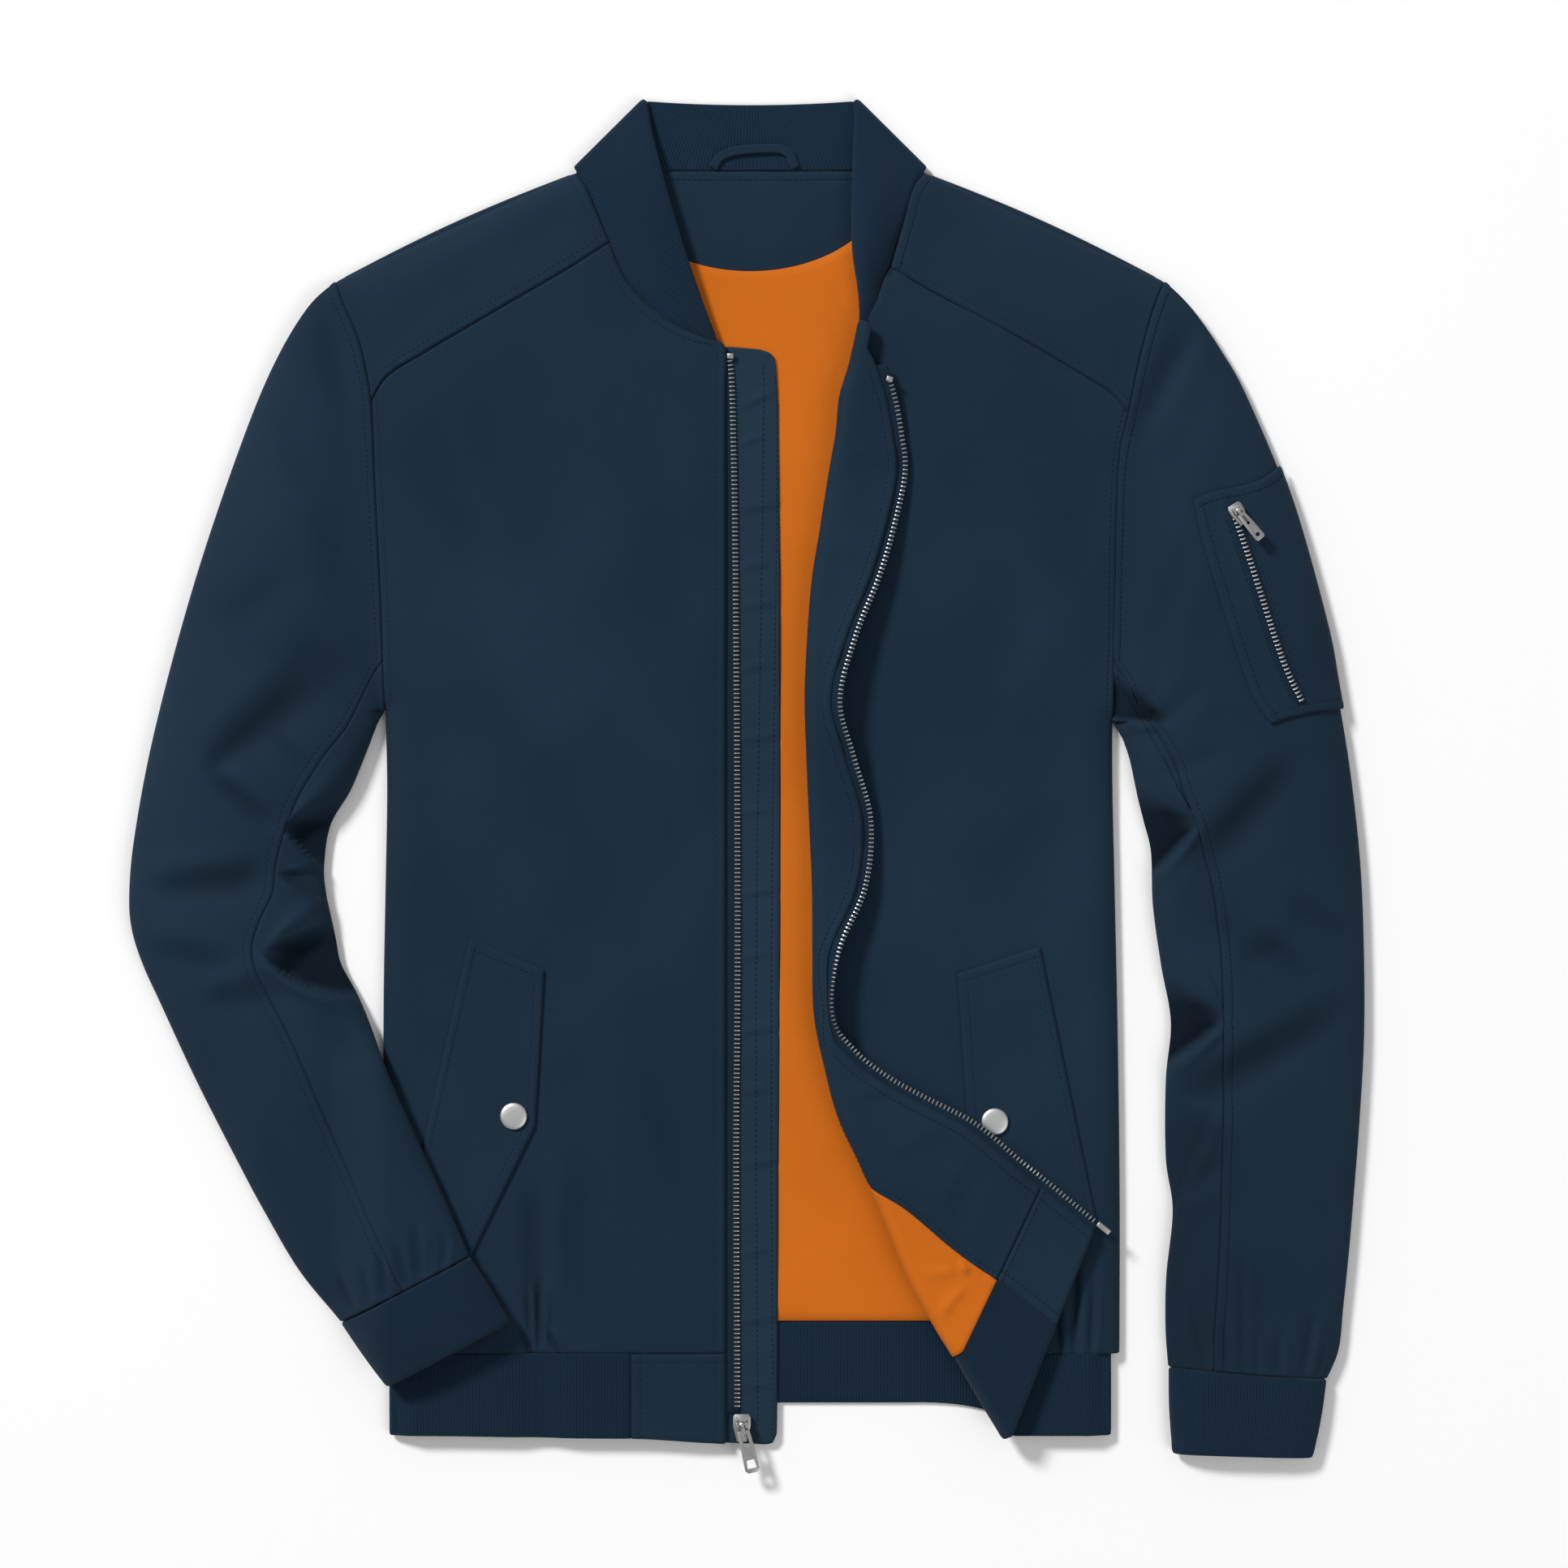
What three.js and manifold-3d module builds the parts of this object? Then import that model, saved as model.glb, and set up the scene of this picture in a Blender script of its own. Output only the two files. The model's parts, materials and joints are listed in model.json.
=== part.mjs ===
// A bomber jacket laid flat and open, its left front folded back on itself. Millimetres, +Z up.
// The wearer's right side is at -X and the neck at +Y. The underside rests on z = 0.
import * as THREE from "three";
import { mergeVertices } from "three/addons/utils/BufferGeometryUtils.js";
import Module from "manifold-3d";

const wasm = await Module();
wasm.setup();

// Thickness of each kind of cloth, and the gap that two sewn pieces keep
const thick = { shell: 1.4, sleeve: 1.2, facing: 1, lining: 1, rib: 2.2, cuff: 1.8, flap: 1.2, tape: 0.8 };
const gap = 0.3;

// How the front lies over the back: its lowest top at the edges, the rise from there and its reach
const lie = { edgeTop: 3.1, rise: 6, reach: 18, closingDip: 1.5, dipReach: 12 };

// Heights of the layers under the front's closing edge
const liningZ = thick.shell + gap;
const windFlapZ = liningZ + thick.lining + gap;
const windFlapThick = 1.2;
const tapeZ = windFlapZ + windFlapThick + 0.4;

// The hem: its seam on the front, its lower edge, and the same two on the back
const hem = {
  seamY: -313, endY: -358, backSeamY: -296, backEndY: -340.5, dropFrom: 100, drop: 17, halfWidth: 198.7,
};

// The shoulder line of each side runs straight from the neck to the sleeve's head
const shoulder = { neckX: 97, neckY: 340, endX: 229, endY: 280 };

const colours = { navy: 0x1f2e40, knit: 0x1b2838, lining: 0xcc6919, metal: 0xa7a9ac, tape: 0x151d28 };

// The edge where each front meets its sleeve, and below the armpit its side
const rightEdge = [
  { y: 282, x: -230 }, { y: 268, x: -225 }, { y: 250, x: -217 }, { y: 235, x: -213 }, { y: 215, x: -209.5 },
  { y: 165, x: -207 }, { y: 105, x: -204 }, { y: 42.5, x: -202 }, { y: 0, x: -201 }, { y: -60, x: -202 },
  { y: -120, x: -203 }, { y: -230, x: -203 }, { y: -330, x: -203 },
];
const leftEdge = [
  { y: 282, x: 230 }, { y: 265, x: 223 }, { y: 240, x: 216 }, { y: 208, x: 209 }, { y: 185, x: 204 },
  { y: 150, x: 202 }, { y: 80, x: 201 }, { y: 36, x: 200 }, { y: 0, x: 200 }, { y: -45, x: 201 },
  { y: -140, x: 203 }, { y: -228, x: 204 }, { y: -330, x: 203.8 },
];

// Rows across each front, from its inner edge (neckline, then closing edge or fold) out to its outer edge
const rightFrontRows = [
  { inX: -78, inY: 301, outY: 214 }, { inX: -70, inY: 282, outY: 196 }, { inX: -58, inY: 267.5, outY: 180 },
  { inX: -43, inY: 256, outY: 165 }, { inX: -28, inY: 249, outY: 150 }, { inX: -14.5, inY: 244, outY: 136 },
  { inX: -14, inY: 222, outY: 115 }, { inX: -14, inY: 192, outY: 92 }, { inX: -14, inY: 155, outY: 68 },
  { inX: -14, inY: 112, outY: 42.5 }, { inX: -14, inY: 60, outY: 5 }, { inX: -14, inY: 0, outY: -40 },
  { inX: -14, inY: -60, outY: -80 }, { inX: -14, inY: -120, outY: -130 }, { inX: -14, inY: -185, outY: -190 },
  { inX: -14, inY: -250, outY: -250 }, { inX: -14, inY: -313, outY: -313 },
];
const leftFrontRows = [
  { inX: 78, inY: 287, outY: 207 }, { inX: 74, inY: 280, outY: 195 }, { inX: 69.5, inY: 268, outY: 184 },
  { inX: 62, inY: 257, outY: 172 }, { inX: 59.5, inY: 247, outY: 160 }, { inX: 56, inY: 232, outY: 145 },
  { inX: 51, inY: 215, outY: 125 }, { inX: 49, inY: 195, outY: 105 }, { inX: 45, inY: 172, outY: 84 },
  { inX: 40, inY: 140, outY: 60 }, { inX: 36, inY: 115, outY: 36 }, { inX: 33.5, inY: 85, outY: 10 },
  { inX: 32, inY: 50, outY: -18 }, { inX: 33, inY: 15, outY: -42 }, { inX: 34.5, inY: -20, outY: -65 },
  { inX: 36, inY: -55, outY: -88 }, { inX: 36.3, inY: -90, outY: -112 }, { inX: 37, inY: -125, outY: -140 },
  { inX: 43, inY: -155, outY: -165 }, { inX: 50, inY: -181, outY: -188 }, { inX: 62, inY: -207, outY: -212 },
  { inX: 75, inY: -237, outY: -240 }, { inX: 90, inY: -273, outY: -275 }, { inX: 105, inY: -300, outY: -300 },
  { inX: 113, inY: -313, outY: -313 },
];

// The turned-back part of the left front, a row for each of its rows from foldFirstRow on, then the hem:
// where the zip's teeth lie, how far they stand off the front below, and the width of the roll at the fold
const foldFirstRow = 3;
const turnedRows = [
  { zipX: 65, zipY: 256, lift: 8, roll: 8 }, { zipX: 67, zipY: 246, lift: 8, roll: 8 },
  { zipX: 74, zipY: 233, lift: 7, roll: 8 }, { zipX: 80, zipY: 214, lift: 5, roll: 8 },
  { zipX: 83.5, zipY: 195, lift: 4, roll: 8 }, { zipX: 85.5, zipY: 173, lift: 4, roll: 8 },
  { zipX: 78.5, zipY: 140, lift: 7, roll: 8 }, { zipX: 70.5, zipY: 114, lift: 10, roll: 9 },
  { zipX: 58.5, zipY: 84, lift: 13, roll: 10 }, { zipX: 49.5, zipY: 48, lift: 15, roll: 11 },
  { zipX: 57, zipY: 17, lift: 11, roll: 10 }, { zipX: 66.5, zipY: -18, lift: 6, roll: 9 },
  { zipX: 63.5, zipY: -55, lift: 8, roll: 9 }, { zipX: 49, zipY: -90, lift: 13, roll: 10 },
  { zipX: 45, zipY: -125, lift: 15, roll: 11 }, { zipX: 58, zipY: -145, lift: 12, roll: 11 },
  { zipX: 77, zipY: -160, lift: 9, roll: 10 }, { zipX: 97, zipY: -171, lift: 9, roll: 9 },
  { zipX: 124, zipY: -185, lift: 10, roll: 9 }, { zipX: 147, zipY: -204, lift: 9, roll: 9 },
  { zipX: 157, zipY: -212, lift: 7, roll: 9 }, { zipX: 162, zipY: -216, lift: 6.5, roll: 9 },
];
const turnedHemEnd = { inX: 140, inY: -359, outY: -358, zipX: 191, zipY: -240, lift: 6, roll: 9 };
const facingWidth = 61;
const zipReach = 5;

// Sections of each sleeve from the armhole to the cuff: inner and outer edge, the share of the way across
// where its front seam lies, and the height of its crown
const rightSleeveRows = [
  { inX: -202, inY: 42.5, outX: -230, outY: 280, seam: 0.115, crown: 9.1 },
  { inX: -204, inY: 39, outX: -245, outY: 265, seam: 0.11, crown: 12 },
  { inX: -206, inY: 35, outX: -262, outY: 237, seam: 0.105, crown: 14.5 },
  { inX: -208, inY: 30, outX: -278, outY: 200, seam: 0.105, crown: 16 },
  { inX: -213, inY: 17, outX: -300, outY: 137, seam: 0.12, crown: 18 },
  { inX: -221, inY: -2, outX: -317, outY: 80, seam: 0.175, crown: 18 },
  { inX: -232, inY: -21, outX: -332, outY: 20, seam: 0.2, crown: 17 },
  { inX: -235.5, inY: -43, outX: -341, outY: -30, seam: 0.235, crown: 17 },
  { inX: -234.5, inY: -58, outX: -343.5, outY: -60, seam: 0.26, crown: 18 },
  { inX: -232, inY: -70, outX: -342, outY: -79, seam: 0.34, crown: 18 },
  { inX: -229, inY: -84, outX: -336, outY: -98, seam: 0.42, crown: 17 },
  { inX: -226, inY: -98, outX: -326, outY: -120, seam: 0.43, crown: 17 },
  { inX: -215, inY: -119, outX: -306, outY: -163, seam: 0.42, crown: 17 },
  { inX: -198, inY: -160, outX: -282, outY: -210, seam: 0.43, crown: 16 },
  { inX: -186, inY: -187, outX: -268, outY: -236, seam: 0.445, crown: 15 },
  { inX: -170, inY: -222, outX: -249, outY: -268, seam: 0.465, crown: 14 },
  { inX: -154, inY: -258, outX: -226, outY: -296, seam: 0.5, crown: 12 },
];
const leftSleeveRows = [
  { inX: 200, inY: 36, outX: 230, outY: 280, seam: 0.136, crown: 9.1 },
  { inX: 202.5, inY: 32.5, outX: 245, outY: 264, seam: 0.125, crown: 12 },
  { inX: 204.5, inY: 29, outX: 261, outY: 241, seam: 0.12, crown: 14.5 },
  { inX: 206.5, inY: 25, outX: 275, outY: 216, seam: 0.115, crown: 16 },
  { inX: 210, inY: 14, outX: 298, outY: 160, seam: 0.135, crown: 18 },
  { inX: 214, inY: -5, outX: 317, outY: 93, seam: 0.19, crown: 18 },
  { inX: 217.5, inY: -19, outX: 324, outY: 57, seam: 0.2, crown: 18 },
  { inX: 221.5, inY: -36, outX: 332, outY: 8, seam: 0.235, crown: 17 },
  { inX: 222.5, inY: -65, outX: 337.5, outY: -43, seam: 0.285, crown: 17 },
  { inX: 227, inY: -98, outX: 339.5, outY: -93, seam: 0.29, crown: 17 },
  { inX: 232.5, inY: -130, outX: 339.5, outY: -139, seam: 0.262, crown: 17 },
  { inX: 229.7, inY: -162, outX: 337, outY: -185, seam: 0.29, crown: 17 },
  { inX: 229.7, inY: -205, outX: 333.5, outY: -230, seam: 0.29, crown: 16 },
  { inX: 233.5, inY: -234, outX: 331, outY: -259, seam: 0.262, crown: 16 },
  { inX: 230, inY: -270, outX: 328, outY: -288, seam: 0.28, crown: 15 },
  { inX: 229.5, inY: -298, outX: 325.5, outY: -311, seam: 0.275, crown: 14 },
  { inX: 231, inY: -320.7, outX: 319, outY: -327.4, seam: 0.28, crown: 12 },
];

// Cuffs, from their seam to their open end
const rightCuffRows = [
  { inX: -153.6, inY: -258.7, outX: -225.8, outY: -296.6, crown: 12.5 },
  { inX: -143, inY: -276, outX: -213, outY: -313, crown: 12.5 },
  { inX: -132, inY: -294, outX: -200, outY: -330, crown: 12 },
];
const leftCuffRows = [
  { inX: 231.2, inY: -321.1, outX: 318.6, outY: -327.8, crown: 12.5 },
  { inX: 232, inY: -345, outX: 315, outY: -350, crown: 12.5 },
  { inX: 233, inY: -368, outX: 311.2, outY: -370.5, crown: 12 },
];

// Folds pressed into the sleeves at the elbows: each runs from its tip to its mouth and grows on the way;
// depth is the share of the crown that it takes away
const rightSleeveFolds = [
  { fromX: -260, fromY: -22, toX: -226, toY: -24, fromHalf: 5, toHalf: 15, fromDepth: 0.1, toDepth: 0.62 },
  { fromX: -262, fromY: -46, toX: -236, toY: -50, fromHalf: 4, toHalf: 7, fromDepth: 0.05, toDepth: 0.28 },
  { fromX: -272, fromY: -90, toX: -222, toY: -95, fromHalf: 6, toHalf: 17, fromDepth: 0.15, toDepth: 0.66 },
  { fromX: -298, fromY: 15, toX: -250, toY: 48, fromHalf: 12, toHalf: 10, fromDepth: 0.05, toDepth: 0.2 },
  { fromX: -328, fromY: -55, toX: -275, toY: -50, fromHalf: 12, toHalf: 10, fromDepth: 0.04, toDepth: 0.16 },
];
const leftSleeveFolds = [
  { fromX: 250, fromY: -18, toX: 218, toY: -24, fromHalf: 6, toHalf: 17, fromDepth: 0.1, toDepth: 0.6 },
  { fromX: 262, fromY: -124, toX: 230, toY: -130, fromHalf: 6, toHalf: 17, fromDepth: 0.1, toDepth: 0.6 },
  { fromX: 256, fromY: -216, toX: 231, toY: -220, fromHalf: 9, toHalf: 14, fromDepth: 0.05, toDepth: 0.35 },
  { fromX: 305, fromY: 15, toX: 255, toY: -30, fromHalf: 12, toHalf: 10, fromDepth: 0.04, toDepth: 0.2 },
];

// Folds pressed into the fronts, in millimetres of depth
const frontFolds = [
  { fromX: -117, fromY: -312, toX: -118, toY: -205, fromHalf: 9, toHalf: 13, fromDepth: 2.2, toDepth: 0.3 },
  { fromX: -90, fromY: -250, toX: -40, toY: -180, fromHalf: 16, toHalf: 20, fromDepth: 0.5, toDepth: 0.3 },
];

// The forearm that lies across the right front: how high it is carried and how far it slopes outside the body
const carried = { height: 12.2, outside: 30, inside: 6 };

// Where the pieces on the fronts lie
const rightFlapCorners = {
  top: [-155, -84], innerTop: [-114, -101], inner: [-119, -187], lower: [-156, -262], outer: [-190, -240],
};
const leftFlapCorners = {
  top: [160, -88], innerTop: [115, -103], inner: [120.5, -187], lower: [155, -258], outer: [191, -238],
};
const snaps = { rightX: -130.5, rightY: -181.5, leftX: 135, leftY: -184.5, radius: 7.5, height: 2.6 };

const { clamp, lerp, smoothstep } = THREE.MathUtils;

// A smooth function through a table: column against another column, or against the row's own number
function through(rows, column, against) {
  const key = rows.map((row, i) => (against ? row[against] : i));
  const value = rows.map((row) => row[column]);
  const order = Math.sign(key[key.length - 1] - key[0]);
  const slope = value.map((_, i) => {
    const before = Math.max(i - 1, 0);
    const after = Math.min(i + 1, value.length - 1);
    return (value[after] - value[before]) / (key[after] - key[before]);
  });
  return (at) => {
    let i = 0;
    while (i < key.length - 2 && (at - key[i + 1]) * order > 0) i += 1;
    const span = key[i + 1] - key[i];
    const t = clamp((at - key[i]) / span, 0, 1);
    const keep = 2 * t ** 3 - 3 * t ** 2 + 1;
    const leave = t ** 3 - 2 * t ** 2 + t;
    const arrive = t ** 3 - t ** 2;
    const past = (at - key[i]) / span - t;
    const run = past > 0 ? slope[i + 1] : slope[i];
    const bend = span * (leave * slope[i] + arrive * slope[i + 1] + past * run);
    return keep * value[i] + (1 - keep) * value[i + 1] + bend;
  };
}

// Every column of a table as such a function
function columnsOf(rows) {
  return Object.fromEntries(Object.keys(rows[0]).map((name) => [name, through(rows, name)]));
}

// The sum of the folds pressed in at a point
function pressed(folds, x, y) {
  return folds.reduce((sum, fold) => {
    const runX = fold.toX - fold.fromX;
    const runY = fold.toY - fold.fromY;
    const share = clamp(((x - fold.fromX) * runX + (y - fold.fromY) * runY) / (runX ** 2 + runY ** 2), 0, 1);
    const away = Math.hypot(x - fold.fromX - share * runX, y - fold.fromY - share * runY);
    const half = lerp(fold.fromHalf, fold.toHalf, share);
    return sum + lerp(fold.fromDepth, fold.toDepth, share) * Math.exp(-((away / half) ** 2));
  }, 0);
}

// A closed mesh from two faces of one grid. cellOn leaves cells out; around joins the last column to the first.
function closedWall(faceA, faceB, { cellOn = () => true, around = false } = {}) {
  const rows = faceA.length;
  const columns = faceA[0].length;
  const positions = [];
  [...faceA, ...faceB].forEach((row) => row.forEach((p) => positions.push(p.x, p.y, p.z)));
  const cells = around ? columns : columns - 1;
  const id = (face, i, j) => face * rows * columns + i * columns + (j % columns);
  const isOn = (i, j) => {
    const column = around ? (j + cells) % cells : j;
    return i >= 0 && i < rows - 1 && column >= 0 && column < cells && cellOn(i, column);
  };
  const index = [];
  for (let i = 0; i < rows - 1; i += 1) {
    for (let j = 0; j < cells; j += 1) {
      if (!isOn(i, j)) continue;
      const corners = [[i, j], [i, j + 1], [i + 1, j + 1], [i + 1, j]];
      const [a, b, c, d] = corners.map(([r, k]) => id(0, r, k));
      const [e, f, g, h] = corners.map(([r, k]) => id(1, r, k));
      index.push(a, b, c, a, c, d, e, g, f, e, h, g);
      const edges = [
        [a, b, e, f, i - 1, j], [b, c, f, g, i, j + 1], [c, d, g, h, i + 1, j], [d, a, h, e, i, j - 1],
      ];
      edges.forEach(([p, q, pB, qB, nextI, nextJ]) => {
        if (!isOn(nextI, nextJ)) index.push(q, p, pB, q, pB, qB);
      });
    }
  }
  return facingOut(positions, index);
}

// The geometry of a closed mesh, its triangles turned round if they face inwards
function facingOut(positions, index) {
  const corner = (k) => new THREE.Vector3().fromArray(positions, 3 * index[k]);
  let volume = 0;
  for (let k = 0; k < index.length; k += 3) {
    volume += corner(k).dot(corner(k + 1).cross(corner(k + 2)));
  }
  if (volume < 0) {
    for (let k = 0; k < index.length; k += 3) [index[k + 1], index[k + 2]] = [index[k + 2], index[k + 1]];
  }
  const geometry = new THREE.BufferGeometry();
  geometry.setAttribute("position", new THREE.Float32BufferAttribute(positions, 3));
  geometry.setIndex(index);
  geometry.computeVertexNormals();
  return geometry;
}

// A grid of points: point(column value, row value)
function gridOf(rowValues, columnValues, point) {
  return rowValues.map((row) => columnValues.map((column) => point(column, row)));
}

// The grid moved along its own normals by a distance; around joins the last column to the first
function movedGrid(grid, distance, around = false) {
  const rows = grid.length;
  const columns = grid[0].length;
  const column = (j) => (around ? (j + columns) % columns : clamp(j, 0, columns - 1));
  return grid.map((row, i) => row.map((point, j) => {
    const across = grid[i][column(j + 1)].clone().sub(grid[i][column(j - 1)]);
    const along = grid[Math.min(i + 1, rows - 1)][j].clone().sub(grid[Math.max(i - 1, 0)][j]);
    return point.clone().addScaledVector(across.cross(along).normalize(), distance);
  }));
}

// Evenly spread values; power above 1 crowds them towards the end, below 1 towards the start
function spread(from, to, count, power = 1) {
  return Array.from({ length: count + 1 }, (_, k) => {
    const share = k / count;
    return lerp(from, to, power >= 1 ? 1 - (1 - share) ** power : share ** (1 / power));
  });
}

// The outer edge of the body at a height, by side: -1 the wearer's right, +1 the left
const edgeX = { "-1": through(rightEdge, "x", "y"), 1: through(leftEdge, "x", "y") };
const armpitY = { "-1": 42.5, 1: 36 };
const closingX = -14;
const sideOf = (x) => (x < 0 ? -1 : 1);

// The share of its full rise that the front has at a distance from an edge
function rounded(distance) {
  const share = clamp(distance / lie.reach, 0, 1);
  return Math.sqrt(1 - (1 - share) ** 2);
}

// The top of the fronts and yokes over a point
function frontTop(x, y) {
  const side = sideOf(x);
  const edge = Math.abs(edgeX[side](Math.min(y, armpitY[side])));
  const above = Math.max(0, y - armpitY[side]);
  const fromSide = above > 0 ? Math.hypot(edge - Math.abs(x), above) : edge - Math.abs(x);
  const slope = (shoulder.neckY - shoulder.endY) / (shoulder.endX - shoulder.neckX);
  const lineY = shoulder.neckY - (Math.abs(x) - shoulder.neckX) * slope;
  const fromShoulder = (lineY - y) / Math.hypot(1, slope);
  const dip = x < 0 ? lie.closingDip * Math.exp(-(((x - closingX) / lie.dipReach) ** 2)) : 0;
  const rise = lie.rise * rounded(fromSide) * rounded(fromShoulder);
  return lie.edgeTop + Math.max(0, rise - dip - pressed(frontFolds, x, y));
}

// A wall that hangs straight down from a top given by plan points
function slabOf(plan, thickness, topAt = frontTop) {
  const top = plan.map((row) => row.map((p) => new THREE.Vector3(p.x, p.y, topAt(p.x, p.y))));
  const bottom = top.map((row) => row.map((p) => new THREE.Vector3(p.x, p.y, p.z - thickness)));
  return closedWall(top, bottom);
}

const group = new THREE.Group();
group.name = "bomber_jacket";

function addPiece(name, geometry, colour, roughness, metalness = 0) {
  const material = new THREE.MeshStandardMaterial({ color: colour, roughness, metalness });
  const mesh = new THREE.Mesh(geometry, material);
  mesh.name = name;
  group.add(mesh);
  return mesh;
}

const addCloth = (name, geometry, colour = colours.navy) => addPiece(name, geometry, colour, 0.85);

// The fronts and yokes

// A curve in plan through a few points, read by its share of length
function planCurve(points) {
  const inPlan = points.map(([x, y]) => new THREE.Vector3(x, y, 0));
  const curve = new THREE.CatmullRomCurve3(inPlan, false, "centripetal");
  return (share) => curve.getPointAt(clamp(share, 0, 1));
}

const yokeSeam = {
  "-1": planCurve([[-208.9, 214], [-201, 226.5], [-180, 240], [-141, 263], [-100, 287], [-78, 301]]),
  1: planCurve([[208.9, 207], [201, 216.5], [180, 230], [141, 252.5], [100, 274], [78, 287]]),
};
const neckline = {
  "-1": planCurve([[-97, 340], [-91.5, 332], [-84.5, 316], [-78, 301]]),
  1: planCurve([[97, 340], [91, 332], [85.5, 313], [78, 287]]),
};

// A point of a front: across from its outer edge (0) to its inner edge (1), at a row of its table
function frontPlan(side, rows, across, row) {
  const outY = rows.outY(row);
  const outer = new THREE.Vector3(edgeX[side](outY), outY, 0);
  const point = outer.lerp(new THREE.Vector3(rows.inX(row), rows.inY(row), 0), across);
  const fade = clamp(1 - row / 4, 0, 1) ** 2;
  const straight = new THREE.Vector3(edgeX[side](rows.outY(0)), rows.outY(0), 0);
  straight.lerp(new THREE.Vector3(rows.inX(0), rows.inY(0), 0), across);
  return point.add(yokeSeam[side](across).sub(straight).multiplyScalar(fade));
}

const rightFront = columnsOf(rightFrontRows);
const leftFront = columnsOf([...leftFrontRows, turnedHemEnd]);
const rightRowEnd = rightFrontRows.length - 1;
const leftRowEnd = leftFrontRows.length - 1;

function buildRightFront() {
  const rows = spread(0.02, rightRowEnd - 0.004, 25);
  const columns = [0, 0.008, 0.03, 0.075, ...spread(0.14, 1, 12)];
  const plan = gridOf(rows, columns, (across, row) => frontPlan(-1, rightFront, across, row));
  addCloth("front_right", slabOf(plan, thick.shell));
}

// The yoke lies between the shoulder line, a little bowed, and the yoke seam
const yoke = { endY: { "-1": 214, 1: 207 }, bow: 3 };

function yokePlan(side, across, down) {
  const edgeY = (share) => lerp(shoulder.endY, yoke.endY[side], share);
  const outer = new THREE.Vector3(edgeX[side](edgeY(down)), edgeY(down), 0);
  const inner = neckline[side](down);
  const top = new THREE.Vector3(side * lerp(shoulder.endX, shoulder.neckX, across), 0, 0);
  top.y = lerp(shoulder.endY, shoulder.neckY, across) + yoke.bow * Math.sin(Math.PI * across);
  const bottom = yokeSeam[side](across);
  const corners = new THREE.Vector3(edgeX[side](edgeY(0)), edgeY(0), 0).lerp(neckline[side](0), across);
  corners.lerp(yokeSeam[side](0).lerp(neckline[side](1), across), down);
  return outer.lerp(inner, across).add(top.lerp(bottom, down)).sub(corners);
}

function buildYoke(side, name) {
  const rows = [0, 0.05, 0.18, ...spread(0.36, 0.993, 4)];
  const columns = [0, 0.05, ...spread(0.12, 1, 10)];
  const plan = gridOf(rows, columns, (across, down) => yokePlan(side, across, down));
  addCloth(name, slabOf(plan, thick.shell));
}

// The left front turns back over itself at its fold

const turned = columnsOf([...turnedRows, turnedHemEnd]);
const frontMid = (x, y) => frontTop(x, y) - thick.shell / 2;

// The fold at a row: the way into the panel, the radius of the roll and its centre in plan
function foldAt(row) {
  const step = 0.2;
  const foldPoint = (at) => new THREE.Vector3(leftFront.inX(at), leftFront.inY(at), 0);
  const along = foldPoint(row + step).sub(foldPoint(row - step)).normalize();
  const inward = new THREE.Vector3(-along.y, along.x, 0);
  const radius = turned.roll(row - foldFirstRow) / 2;
  return { inward, radius, centre: foldPoint(row).addScaledVector(inward, radius) };
}

// The length of the turned part from the roll to the teeth
function turnedLength(row) {
  const at = row - foldFirstRow;
  return foldAt(row).centre.distanceTo(new THREE.Vector3(turned.zipX(at), turned.zipY(at), 0));
}

// A point of the turned cloth's middle: reach is in millimetres, from the roll to the teeth and below 0 round it
function turnedPoint(reach, row) {
  const at = row - foldFirstRow;
  const fold = foldAt(row);
  const lowZ = frontMid(fold.centre.x, fold.centre.y);
  if (reach < 0) {
    const angle = Math.min(-reach / fold.radius, Math.PI);
    const out = fold.centre.clone().addScaledVector(fold.inward, -fold.radius * Math.sin(angle));
    out.z = lowZ + fold.radius * (1 + Math.cos(angle));
    return out;
  }
  const length = Math.max(turnedLength(row), 1);
  const share = reach / length;
  const point = fold.centre.clone().lerp(new THREE.Vector3(turned.zipX(at), turned.zipY(at), 0), share);
  const settle = smoothstep(share, 0, 1);
  const stand = lerp(2 * fold.radius, turned.lift(at), settle);
  point.z = lerp(lowZ, frontMid(point.x, point.y), smoothstep(share, 0, 0.5)) + stand;
  return point;
}

// Columns over the roll, from under it to its top
const rollAngles = spread(1, 0.16, 5).map((share) => share * Math.PI);
const flatShares = [0, 0.008, 0.03, 0.075, ...spread(0.14, 1, 9)];
const turnedRowsAt = spread(foldFirstRow, leftRowEnd - 0.006, 26);
const hemRowsAt = spread(leftRowEnd + 0.014, leftRowEnd + 1, 4);

// The reaches that split a row of the turned cloth: the facing's inner edge, its outer edge, and the tape
function reachesAt(row) {
  const length = turnedLength(row);
  const shellEnd = Math.max(length - zipReach, 1.6);
  const facingEdge = Math.max(length - facingWidth, 0.4);
  return {
    inner: spread(0, facingEdge, 3).slice(1, -1),
    facingEdge,
    outer: spread(facingEdge, shellEnd, 4).slice(1),
    tape: [shellEnd + gap, Math.max(length, shellEnd + 2) + 1],
  };
}

// The turned cloth's middle, a row for each given row: the roll, the flat part and the tape beyond it
function turnedGrid(rows) {
  return rows.map((row) => {
    const { radius } = foldAt(row);
    const reach = reachesAt(row);
    const roll = rollAngles.map((angle) => -angle * radius);
    return [...roll, 0, ...reach.inner, reach.facingEdge, ...reach.outer, ...reach.tape]
      .map((at) => turnedPoint(at, row));
  });
}

// Columns of turnedGrid
const column = { roll: 0, flat: 6, facing: 9, end: 13, tape: 14, last: 15 };

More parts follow.
